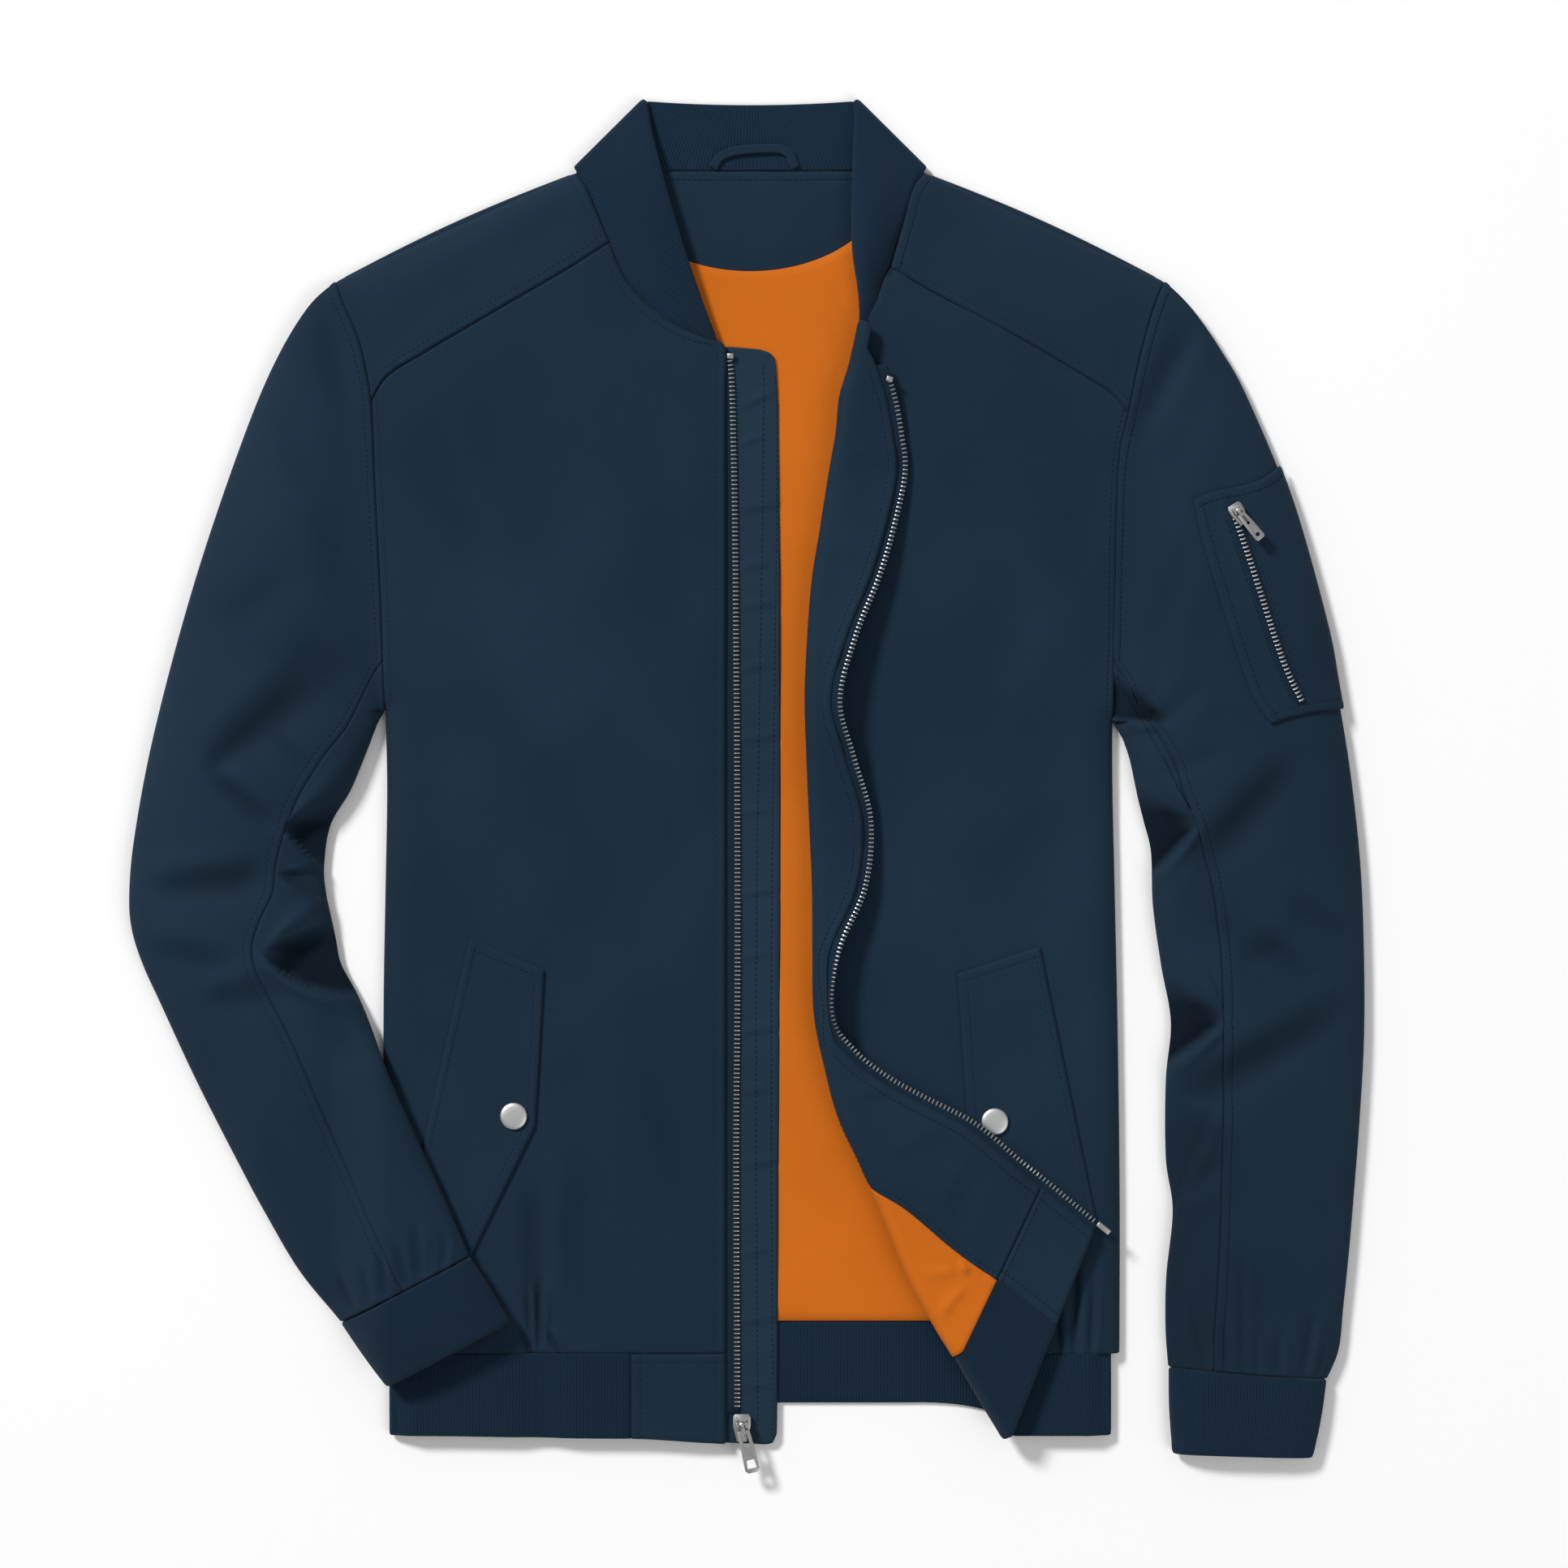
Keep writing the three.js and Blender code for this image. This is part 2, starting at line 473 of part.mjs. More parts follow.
function buildLeftFront() {
  const above = spread(0.03, foldFirstRow - 0.5, 4);
  const rows = [...above, ...turnedRowsAt];
  const turnedPart = turnedGrid(rows.map((row) => Math.max(row, foldFirstRow)));
  const plan = rows.map((row, i) => {
    const base = flatShares.map((across) => {
      const p = frontPlan(1, leftFront, across, row);
      const fold = foldAt(Math.max(row, foldFirstRow));
      const pull = fold.radius * smoothstep(row, foldFirstRow - 1.5, foldFirstRow);
      p.addScaledVector(fold.inward, pull * across ** 4);
      return p.setZ(frontMid(p.x, p.y));
    });
    return [...base, ...turnedPart[i].slice(1, column.end + 1)];
  });
  const cellOn = (i, j) => j < flatShares.length - 1 || i >= above.length;
  const half = thick.shell / 2;
  addCloth("front_left", closedWall(movedGrid(plan, half), movedGrid(plan, -half), { cellOn }));
}

// A piece on the turned cloth's upper face, made from its points: columns from and to, moved out
function onTurned(rows, from, to, low, high) {
  const grid = turnedGrid(rows);
  const cut = (face) => face.map((row) => row.slice(from, to + 1));
  return closedWall(cut(movedGrid(grid, -low)), cut(movedGrid(grid, -high)));
}

const onShell = thick.shell / 2 + gap;

function buildLeftFacing() {
  const grid = turnedGrid(turnedRowsAt);
  const wide = turnedRowsAt.map((row) => turnedLength(row) > facingWidth + 3);
  const cellOn = (i, j) => j >= column.facing - 2 || !wide[i + 1];
  const cut = (face) => face.map((row) => row.slice(2, column.end + 1));
  const low = cut(movedGrid(grid, -onShell));
  const high = cut(movedGrid(grid, -onShell - thick.facing));
  addCloth("facing_left", closedWall(low, high, { cellOn }));
}

// The lining beside the facing, where the fold lies far from the zip
function buildLeftLining() {
  const rows = turnedRowsAt.filter((row) => turnedLength(row) > facingWidth + 3);
  const grid = turnedGrid(rows);
  const cut = (face) => face.map((row) => {
    const kept = row.slice(2, column.facing + 1);
    const edge = kept[kept.length - 1];
    edge.add(kept[kept.length - 2].clone().sub(edge).setLength(gap));
    return kept;
  });
  const low = cut(movedGrid(grid, -onShell));
  const high = cut(movedGrid(grid, -onShell - thick.lining));
  addCloth("lining_left", closedWall(low, high), colours.lining);
}

// The zip's tape goes on from the turned edge to the teeth
function buildLeftTape() {
  const half = thick.tape / 2;
  const rows = [...turnedRowsAt.slice(1), ...hemRowsAt];
  addPiece("zip_tape_left", onTurned(rows, column.tape, column.last, -half, half), colours.tape, 0.9);
}

// The sleeves: flattened tubes with a level underside

// The most of its crown that a fold takes from a tube
const deepestFold = 0.7;

// A tube's point: around runs 0 to 1 over the top, inner edge to outer, and 1 to 2 back underneath
function tubePoint(tube, around, row) {
  const under = around < 0 || around > 1;
  const across = around > 1 ? 2 - around : Math.abs(around);
  const inner = new THREE.Vector3(tube.inX(row), tube.inY(row), 0);
  const outer = new THREE.Vector3(tube.outX(row), tube.outY(row), 0);
  const width = inner.distanceTo(outer);
  const point = inner.lerp(outer, across);
  const start = tube.start(across);
  point.addScaledVector(start, clamp(1 - row / 6, 0, 1) ** 2);
  const off = Math.abs(2 * across - 1);
  const base = tube.base(point.x, point.y);
  if (under) {
    const curl = (tube.tip * width) / tube.edgeZ ** 2;
    point.z = base + tube.edgeZ * (1 - Math.sqrt(Math.max(0, 1 - off ** curl)));
    return point;
  }
  const crown = tube.crown(row);
  const blunt = Math.max(2.2, (tube.tip * width) / (crown - tube.edgeZ) ** 2);
  const sunk = Math.min(pressed(tube.folds, point.x, point.y), deepestFold);
  const rise = Math.sqrt(Math.max(0, 1 - off ** blunt)) * (1 - sunk);
  const full = tube.edgeZ + (crown - tube.edgeZ) * rise;
  const share = (frontTop(point.x, point.y) - lie.edgeTop) / lie.rise;
  const atArmhole = tube.edgeZ + share * (lie.edgeTop + lie.rise - tube.edgeZ);
  point.z = base + (tube.meetsBody ? lerp(atArmhole, full, smoothstep(row, 0, 3.5)) : full);
  return point;
}

// Over the right front's side the forearm is carried by the body; beside it, it comes down to the surface
function carriedBase(x, y) {
  const inside = x - edgeX[-1](clamp(y, -330, 42.5));
  const near = smoothstep(inside, -carried.outside, carried.inside);
  return carried.height * near * smoothstep(-y, 118, 158);
}

// The curve of the armhole, as the distance from a straight line between its ends
function armholeBulge(side, rows) {
  const first = rows[0];
  return (across) => {
    const y = lerp(first.inY, first.outY, across);
    return new THREE.Vector3(edgeX[side](y) - lerp(first.inX, first.outX, across), 0, 0);
  };
}

const none = () => 0;
const straight = () => new THREE.Vector3();

const sleeves = {
  "-1": {
    ...columnsOf(rightSleeveRows), tip: 2, edgeZ: 4, folds: rightSleeveFolds,
    base: carriedBase, start: armholeBulge(-1, rightSleeveRows), meetsBody: true,
    last: rightSleeveRows.length - 1,
  },
  1: {
    ...columnsOf(leftSleeveRows), tip: 2, edgeZ: 4, folds: leftSleeveFolds,
    base: none, start: armholeBulge(1, leftSleeveRows), meetsBody: true,
    last: leftSleeveRows.length - 1,
  },
};
const backSeamAcross = 0.35;
const seamClear = 0.55;

// Shares across the underside where a sleeve's columns lie, on each side of its back seam
const underOuter = spread(1, backSeamAcross, 7, 0.5);
const underInner = spread(0, backSeamAcross, 4, 0.5);

// Moves a grid of tube points off the body by the seam's gap
function clearOfBody(grid, side) {
  grid.forEach((row) => row.forEach((p) => p.setX(p.x + side * gap)));
  return grid;
}

// A tube's wall goes inwards from its outer face
function tubeWall(grid, side, thickness, around = false) {
  return closedWall(grid, movedGrid(grid, side * thickness, around), { around });
}

function buildSleeve(side, name) {
  const tube = sleeves[side];
  const rows = [0, 0.5, ...spread(1, tube.last - 0.01, 21)];
  const widthAt = (row) => Math.hypot(tube.inX(row) - tube.outX(row), tube.inY(row) - tube.outY(row));
  const seamHalf = (row) => seamClear / 2 / widthAt(row);
  const top = rows.map((row) => {
    const seam = tube.seam(row) + seamHalf(row);
    const over = spread(seam, 1, 9, 1.9);
    const under = underOuter.map((across) => 2 - across).slice(1);
    return [...over, ...under].map((around) => tubePoint(tube, around, row));
  });
  addCloth(`${name}_top`, tubeWall(clearOfBody(top, side), side, thick.sleeve));
  const below = rows.map((row) => {
    const seam = tube.seam(row) - seamHalf(row);
    const under = underInner.map((across) => -across).reverse();
    under[0] += seamHalf(row) * 2;
    const over = spread(0, seam, 5, 0.6).slice(1);
    return [...under, ...over].map((around) => tubePoint(tube, around, row));
  });
  addCloth(`${name}_under`, tubeWall(clearOfBody(below, side), side, thick.sleeve));
}

function buildCuff(side, name, cuffRows, base) {
  const tube = { ...columnsOf(cuffRows), tip: 2.6, edgeZ: 5, folds: [], base, start: straight };
  const over = [0, 0.012, 0.045, 0.1, 0.2, 0.35, 0.5, 0.65, 0.8, 0.9, 0.955, 0.988];
  const around = [...over, ...over.map((share) => share + 1)];
  const rows = spread(0, cuffRows.length - 1, 3);
  const grid = rows.map((row) => around.map((share) => tubePoint(tube, share, row)));
  clearOfBody(grid, side);
  addPiece(name, tubeWall(grid, side, thick.cuff, true), colours.knit, 0.95);
}

// The back, its lining and the facing at the neck

const backNeckY = 341.7;

function flatPiece(points, thickness, z) {
  const shape = new THREE.Shape(points.map(([x, y]) => new THREE.Vector2(x, y)));
  const geometry = new THREE.ExtrudeGeometry(shape, { depth: thickness, bevelEnabled: false });
  return geometry.translate(0, 0, z);
}

// How far the back hem drops towards a side
const hemDrop = (x) => hem.drop * smoothstep(Math.abs(x), hem.dropFrom, hem.halfWidth);
const backSeam = (x) => hem.backSeamY - hemDrop(x);

const backPlan = { rightX: -202.6, leftX: 203.4, sideFromY: -290, shoulderX: 160, shoulderY: 313, inset: 1 };

function buildBack() {
  const xs = spread(backPlan.rightX, backPlan.leftX, 24);
  const bottom = xs.map((x) => [x, backSeam(x) + gap]);
  const up = (side) => {
    const armhole = [...underInner, ...underOuter.slice(0, -1).reverse()];
    const high = armhole.map((across) => lerp(armpitY[side], shoulder.endY, across));
    return [...spread(backPlan.sideFromY, armpitY[side] - 15, 8), ...high].map((y) => [edgeX[side](y), y]);
  };
  const { shoulderX, shoulderY, inset } = backPlan;
  const neckX = shoulder.neckX - inset;
  const neckY = shoulder.neckY - inset;
  const outline = [
    ...bottom, ...up(1), [shoulderX, shoulderY], [neckX, neckY],
    [0, backNeckY - gap], [-neckX, neckY], [-shoulderX, shoulderY], ...up(-1).reverse(),
  ];
  addCloth("back", flatPiece(outline, thick.shell, 0));
}

const neckFacing = { halfWidth: 78, topY: 341, dip: 55 };
const backLining = { rightX: -60, leftX: 158, topX: 70, topY: 300, sideTopY: 220 };

function buildBackLining() {
  const arc = spread(-1, 1, 16).map((share) => [
    share * neckFacing.halfWidth, neckFacing.topY - neckFacing.dip * Math.sqrt(1 - share ** 2),
  ]);
  const corners = [[neckFacing.halfWidth, neckFacing.topY], [-neckFacing.halfWidth, neckFacing.topY]];
  const facing = [...arc.slice(1, -1), ...corners];
  addCloth("neck_facing", flatPiece(facing, thick.lining, liningZ));
  const { rightX, leftX, topX, topY, sideTopY } = backLining;
  const seam = arc.slice(1, -1).filter(([x]) => x > rightX).map(([x, y]) => [x, y - gap]);
  const low = spread(leftX, rightX, 10).map((x) => [x, backSeam(x) + gap + 0.5]);
  const lining = [[rightX, topY], ...seam, [topX, topY], [leftX, sideTopY], ...low];
  addCloth("lining_back", flatPiece(lining, thick.lining, liningZ), colours.lining);
}

// The collar: one ribbon from the right front round the back of the neck to the left front

const collarRight = [
  { seamX: -21.5, seamY: 248.1, freeX: -19.6, freeY: 250.1, seamZ: 8, freeZ: 8.2, arch: 0 },
  { seamX: -30, seamY: 251.4, freeX: -25, freeY: 264, seamZ: 8, freeZ: 8.8, arch: 0.5 },
  { seamX: -40, seamY: 254.6, freeX: -31, freeY: 281, seamZ: 8, freeZ: 9.6, arch: 1 },
  { seamX: -50, seamY: 261, freeX: -36.5, freeY: 297, seamZ: 8, freeZ: 10.4, arch: 1.4 },
  { seamX: -59.4, seamY: 270, freeX: -41, freeY: 312, seamZ: 8, freeZ: 11, arch: 1.7 },
  { seamX: -69.4, seamY: 283, freeX: -45.5, freeY: 327, seamZ: 8, freeZ: 11, arch: 1.8 },
  { seamX: -77.2, seamY: 301, freeX: -49.5, freeY: 342, seamZ: 8, freeZ: 10, arch: 1.6 },
  { seamX: -83.6, seamY: 316, freeX: -52.6, freeY: 354, seamZ: 7.4, freeZ: 8.6, arch: 1.2 },
  { seamX: -88.6, seamY: 327, freeX: -55, freeY: 364, seamZ: 6.6, freeZ: 7, arch: 0.8 },
];
const collarLeft = [
  { seamX: 91.4, seamY: 332, freeX: 58.2, freeY: 369, seamZ: 5.8, freeZ: 6, arch: 0.6 },
  { seamX: 88.2, seamY: 322, freeX: 57.6, freeY: 358, seamZ: 6.8, freeZ: 7.4, arch: 1.5 },
  { seamX: 84.6, seamY: 311, freeX: 57, freeY: 342, seamZ: 7.6, freeZ: 9, arch: 3 },
  { seamX: 80.8, seamY: 300, freeX: 56.4, freeY: 325, seamZ: 8, freeZ: 10, arch: 4.5 },
  { seamX: 77.2, seamY: 287, freeX: 56.2, freeY: 308, seamZ: 8, freeZ: 10.5, arch: 5 },
  { seamX: 73, seamY: 278, freeX: 57, freeY: 293, seamZ: 8, freeZ: 10.5, arch: 4 },
  { seamX: 69, seamY: 268.5, freeX: 59.4, freeY: 277, seamZ: 8, freeZ: 10, arch: 2.5 },
  { seamX: 64.5, seamY: 261.5, freeX: 61.5, freeY: 264.5, seamZ: 8.4, freeZ: 9, arch: 0 },
];
const collarRoll = {
  right: { seamX: -97, seamY: 342.8, freeX: -59, freeY: 380.5 },
  left: { seamX: 97, seamY: 342.8, freeX: 59, freeY: 380.5 },
  radius: 1.9, lowZ: thick.rib / 2,
};

// Stations round the roll at one side of the neck, from the front down to the back
function collarRollStations(edge, side) {
  const along = new THREE.Vector3(edge.freeX - edge.seamX, edge.freeY - edge.seamY, 0).normalize();
  const inward = new THREE.Vector3(along.y, -along.x, 0).multiplyScalar(-side);
  return spread(0, Math.PI, 6).map((angle) => {
    const out = collarRoll.radius * (1 - Math.sin(angle));
    const z = collarRoll.lowZ + collarRoll.radius * (1 + Math.cos(angle));
    return {
      seamX: edge.seamX + inward.x * out, seamY: edge.seamY + inward.y * out,
      freeX: edge.freeX + inward.x * out, freeY: edge.freeY + inward.y * out, seamZ: z, freeZ: z, arch: 0,
    };
  });
}

const collarBack = { halfWidth: 80, narrowing: 0.7, freeY: 377.5, bow: 2 };

function collarStations() {
  const { halfWidth, narrowing, freeY, bow } = collarBack;
  const back = spread(-halfWidth, halfWidth, 12).map((x) => ({
    seamX: x, seamY: backNeckY + gap, freeX: x * narrowing, freeY: freeY + bow * (x / halfWidth) ** 2,
    seamZ: collarRoll.lowZ, freeZ: collarRoll.lowZ, arch: 0,
  }));
  const rollLeft = collarRollStations(collarRoll.left, 1).reverse();
  return [...collarRight, ...collarRollStations(collarRoll.right, -1), ...back, ...rollLeft, ...collarLeft];
}

// The collar's edge keeps clear of the neckline, more so where its arch tilts it
function collarRow(station) {
  const clear = (station.arch ? 0.6 + 0.25 * station.arch : 0) / Math.hypot(
    station.freeX - station.seamX, station.freeY - station.seamY,
  );
  const seam = new THREE.Vector3(station.seamX, station.seamY, 0);
  const free = new THREE.Vector3(station.freeX, station.freeY, 0);
  return spread(0, 1, 4).map((share) => {
    const z = lerp(station.seamZ, station.freeZ, share) + station.arch * 4 * share * (1 - share);
    return seam.clone().lerp(free, lerp(clear, 1, share)).setZ(z);
  });
}

function buildCollar() {
  const grid = collarStations().map(collarRow);
  const half = thick.rib / 2;
  addPiece("collar", closedWall(movedGrid(grid, half), movedGrid(grid, -half)), colours.knit, 0.95);
}

// The loop that hangs the jacket up, over the collar's back
const loop = {
  path: [[-20.5, 343], [-17, 348.6], [-11, 351.6], [4, 353.4], [17, 353.2], [21.6, 350.4], [25, 343]],
  half: 1.6, topZ: 3.6, lowZ: 2.5,
};

function buildHangerLoop() {
  const middle = new THREE.CatmullRomCurve3(loop.path.map(([x, y]) => new THREE.Vector3(x, y, 0)));
  const top = spread(0, 1, 12).map((share) => {
    const along = middle.getTangentAt(share);
    const across = new THREE.Vector3(-along.y, along.x, 0);
    const point = middle.getPointAt(share).setZ(loop.topZ);
    return [-loop.half, loop.half].map((off) => point.clone().addScaledVector(across, off));
  });
  const bottom = top.map((row) => row.map((point) => point.clone().setZ(loop.lowZ)));
  addCloth("hanger_loop", closedWall(top, bottom));
}

// The hem: one ribbon round the jacket and over the fold, with a tab at each end

const sideRoll = { radius: 1.8, lowZ: thick.rib / 2 };
const hemTop = (x, y) => Math.max(frontTop(x, y), sideRoll.lowZ + 2 * sideRoll.radius + thick.rib / 2);
const tabSeamX = -66;

// Where the hem's front parts and its back end beside the rolls at the sides
const hemEnds = { frontX: 188, backX: 185 };

// The lower edge of the right hem drops towards the zip
const rightHemEndY = (x) => hem.endY - 1.5 * smoothstep(x, -190, -70) - 3.5 * smoothstep(x, -70, 0);

// A hem station: the point at its seam and the point at its lower edge, both in the cloth's middle
function hemStation(x, seamY, endY, z) {
  return [new THREE.Vector3(x, seamY - gap, z), new THREE.Vector3(x, endY, z)];
}

function hemSideStations(side) {
  const centreX = side * (hem.halfWidth - sideRoll.radius);
  return spread(0, Math.PI, 6).map((angle) => {
    const x = centreX + side * sideRoll.radius * Math.sin(angle);
    const z = sideRoll.lowZ + sideRoll.radius * (1 + Math.cos(angle));
    return hemStation(x, hem.seamY, hem.endY, z);
  });
}

function buildHem() {
  const half = thick.rib / 2;
  const frontRight = spread(tabSeamX - gap, -hemEnds.frontX, 13).map((x) => (
    hemStation(x, hem.seamY, rightHemEndY(x), hemTop(x, hem.seamY) - half)
  ));
  const back = spread(-hemEnds.backX, hemEnds.backX, 22).map((x) => (
    hemStation(x, backSeam(x), hem.backEndY - hemDrop(x), sideRoll.lowZ)
  ));
  const rolledRow = [leftRowEnd + 0.012, leftRowEnd + 1];
  const rollStart = rolledRow.map((row) => foldAt(row).centre);
  const frontLeft = spread(0, 1, 9).map((share) => {
    const x = lerp(hemEnds.frontX, rollStart[0].x + 4, share);
    const lowX = lerp(hemEnds.frontX, rollStart[1].x + 3, share);
    const seam = new THREE.Vector3(x, hem.seamY - gap, hemTop(x, hem.seamY) - half);
    return [seam, new THREE.Vector3(lowX, hem.endY, hemTop(lowX, hem.seamY) - half)];
  });
  const lift = thick.rib / 2 - thick.shell / 2 + 0.4;
  const tabLength = facingWidth + gap;
  const steps = [...rollAngles.slice(1).map((angle) => -angle), ...spread(0, 1, 5)];
  const overFold = steps.map((step) => rolledRow.map((row) => {
    const reach = step < 0 ? step * foldAt(row).radius : step * (turnedLength(row) - tabLength);
    const point = turnedPoint(reach, row);
    return point.setZ(point.z + (step < 0 ? 0 : lift));
  }));
  const right = hemSideStations(-1);
  const left = hemSideStations(1).reverse();
  const stations = [...frontRight, ...right, ...back, ...left, ...frontLeft, ...overFold];
  const grid = stations.map(([seam, end]) => spread(0, 1, 2).map((share) => seam.clone().lerp(end, share)));
  addPiece("hem_rib", closedWall(movedGrid(grid, half), movedGrid(grid, -half)), colours.knit, 0.95);
}

const tabThick = 1.8;

function buildTabs() {
  const right = gridOf(spread(0, 1, 4), spread(tabSeamX + gap, closingX, 6), (x, down) => (
    new THREE.Vector3(x, lerp(hem.seamY - gap, rightHemEndY(x), down), 0)
  ));
  addCloth("hem_tab_right", slabOf(right, tabThick, (x) => frontTop(x, hem.seamY)));
  const rows = spread(leftRowEnd + 0.012, leftRowEnd + 1, 4);
  const left = rows.map((row) => {
    const end = turnedLength(row) - zipReach;
    const start = turnedLength(row) - facingWidth + 0.3;
    return spread(start, end, 6).map((reach) => {
      const point = turnedPoint(reach, row);
      return point.setZ(point.z + 0.7);
    });
  });
  addCloth("hem_tab_left", closedWall(movedGrid(left, tabThick / 2), movedGrid(left, -tabThick / 2)));
}

// The wind flap behind the right front's zip, and the zip's tape between them

const windFlapOutline = [
  [-40, -361], [-40, 236], [-20, 242.5], [-12, 243.5], [5, 242], [10, 240.6], [13, 238], [14.2, 232],
  [15.5, 212], [16.6, 120], [16.8, 0], [16.2, -150], [15.5, -215], [15, -320], [14.5, -358], [12, -363],
  [8, -363.5],
];
const addWindFlap = () => addCloth("wind_flap", flatPiece(windFlapOutline, windFlapThick, windFlapZ));

// The line of the right teeth, and the tape's hidden edge and ends
const teethLine = [
  { y: 240, x: -12 }, { y: 228, x: -10.4 }, { y: 200, x: -9.5 }, { y: 150, x: -8.5 }, { y: 80, x: -7.8 },
  { y: 0, x: -7.2 }, { y: -100, x: -7 }, { y: -200, x: -7.8 }, { y: -347, x: -7.2 },
];
const teethX = through(teethLine, "x", "y");
const rightTape = { hiddenX: -26, topY: 240, endY: -346 };

function buildRightTape() {
  const { hiddenX, topY, endY } = rightTape;
  const shown = spread(topY, endY, 12).map((y) => [teethX(y) + 1, y]);
  const outline = [[hiddenX, topY], ...shown, [hiddenX, endY]];
  addPiece("zip_tape_right", flatPiece(outline, thick.tape, tapeZ), colours.tape, 0.9);
}

// Pocket flaps and their snaps

// The plan of a five-sided flap: rows from its top edge down, columns from its sewn edge to its free edge
function flapPlan(corners) {
  const at = (name) => new THREE.Vector3(corners[name][0], corners[name][1], 0);
  const sewn = (share) => at("top").lerp(at("outer"), share);
  const free = (share) => (share < 0.5
    ? at("innerTop").lerp(at("inner"), share * 2)
    : at("inner").lerp(at("lower"), share * 2 - 1));
  return gridOf(spread(0, 1, 8), spread(0, 1, 5), (across, down) => sewn(down).lerp(free(down), across));
}

// What lies on a front is held this far off it
const flapLift = 0.4;
const flapTop = (x, y) => frontTop(x, y) + flapLift + thick.flap;

function buildFlap(name, corners) {
  addCloth(name, slabOf(flapPlan(corners), thick.flap, flapTop));
}

function buildSnap(name, x, y) {
  const profile = [
    [0, 0], [snaps.radius - 0.6, 0], [snaps.radius, 0.5], [snaps.radius, 1], [snaps.radius - 0.8, 1.8],
    [snaps.radius * 0.6, snaps.height - 0.25], [0, snaps.height],
  ];
  const geometry = new THREE.LatheGeometry(profile.map(([r, h]) => new THREE.Vector2(r, h)), 18);
  geometry.rotateX(Math.PI / 2);
  geometry.translate(x, y, flapTop(x, y) + flapLift);
  addPiece(name, geometry, colours.metal, 0.35, 1);
}

// The pocket on the left sleeve, made from the sleeve's own points: shares across and rows of its sections.
// It ends just short of the sleeve's outer edge.

const sleevePocket = {
  topInner: { across: 0.66, row: 2.72 }, topOuter: { across: 1, row: 3.72 },
  endInner: { across: 0.655, row: 5.86 }, endOuter: { across: 1, row: 6.3 }, outermost: 0.999,
  straighten: { across: 0.075, row: 0.2 },
};

// A point of the pocket's plan, 0 to 1 across from the inner edge and 0 to 1 down. The sleeve's sections are bent,
// so the inner and top edges are moved back to straight lines.
function pocketAt(across, down) {
  const { topInner, topOuter, endInner, endOuter, outermost, straighten } = sleevePocket;
  const mix = (name) => lerp(
    lerp(topInner[name], topOuter[name], across), lerp(endInner[name], endOuter[name], across), down,
  );
  const share = mix("across") - straighten.across * 4 * down * (1 - down) * (1 - across);
  const row = mix("row") + straighten.row * 4 * across * (1 - across) * (1 - down);
  const point = tubePoint(sleeves[1], Math.min(share, outermost), row);
  return point.setX(point.x + gap);
}

// The sleeve's outward direction at a place on the pocket
function pocketNormal(across, down) {
  const step = 0.004;
  const wide = pocketAt(across, down).sub(pocketAt(across - 2 * step, down));
  const long = pocketAt(across, down + step).sub(pocketAt(across, down - step));
  return long.cross(wide).normalize();
}

function onPocket(acrossValues, downValues, low, high) {
  const face = (height) => gridOf(downValues, acrossValues, (across, down) => (
    pocketAt(across, down).addScaledVector(pocketNormal(across, down), height)
  ));
  return closedWall(face(low), face(high));
}

const sleeveTapeThick = 0.6;
const pocketLow = 0.9;
const pocketHigh = 2.1;
const pocketZip = { topAcross: 0.353, endAcross: 0.478, topDown: 0.1, endDown: 0.93, half: 0.055 };

function buildSleevePocket() {
  const across = [0, 0.15, 0.3, 0.45, 0.6, 0.75, 0.88, 0.96, 1];
  addCloth("sleeve_pocket", onPocket(across, spread(0, 1, 8), pocketLow, pocketHigh));
  const { half, topAcross, endAcross, topDown, endDown } = pocketZip;
  const tapeFace = (height) => gridOf(spread(0, 1, 10), [-half, half], (off, share) => {
    const middle = lerp(topAcross, endAcross, share);
    const down = lerp(topDown, endDown, share);
    return pocketAt(middle + off, down).addScaledVector(pocketNormal(middle + off, down), height);
  });
  const tape = closedWall(tapeFace(pocketHigh + gap), tapeFace(pocketHigh + gap + sleeveTapeThick));
  addPiece("zip_tape_sleeve", tape, colours.tape, 0.9);
}

// A closed geometry as a solid for booleans
function solidOf(geometry) {
  const flat = geometry.index ? geometry.toNonIndexed() : geometry;
  const bare = new THREE.BufferGeometry().setAttribute("position", flat.getAttribute("position"));
  const merged = mergeVertices(bare, 1e-4);
  const triVerts = new Uint32Array(merged.index.array);
  const vertProperties = merged.attributes.position.array;
  return new wasm.Manifold(new wasm.Mesh({ numProp: 3, vertProperties, triVerts }));
}

// The given geometries joined into one, less the cuts
function joined(pieces, cuts = []) {
  const whole = wasm.Manifold.union(pieces.map(solidOf));
  const solid = cuts.length ? whole.subtract(wasm.Manifold.union(cuts.map(solidOf))) : whole;
  const mesh = solid.getMesh();
  const geometry = new THREE.BufferGeometry();
  geometry.setAttribute("position", new THREE.Float32BufferAttribute(mesh.vertProperties, 3));
  geometry.setIndex([...mesh.triVerts]);
  geometry.computeVertexNormals();
  return geometry;
}

// Sliders with their pull tabs. Each is built lying along -Y with its bar on the X axis, then placed.

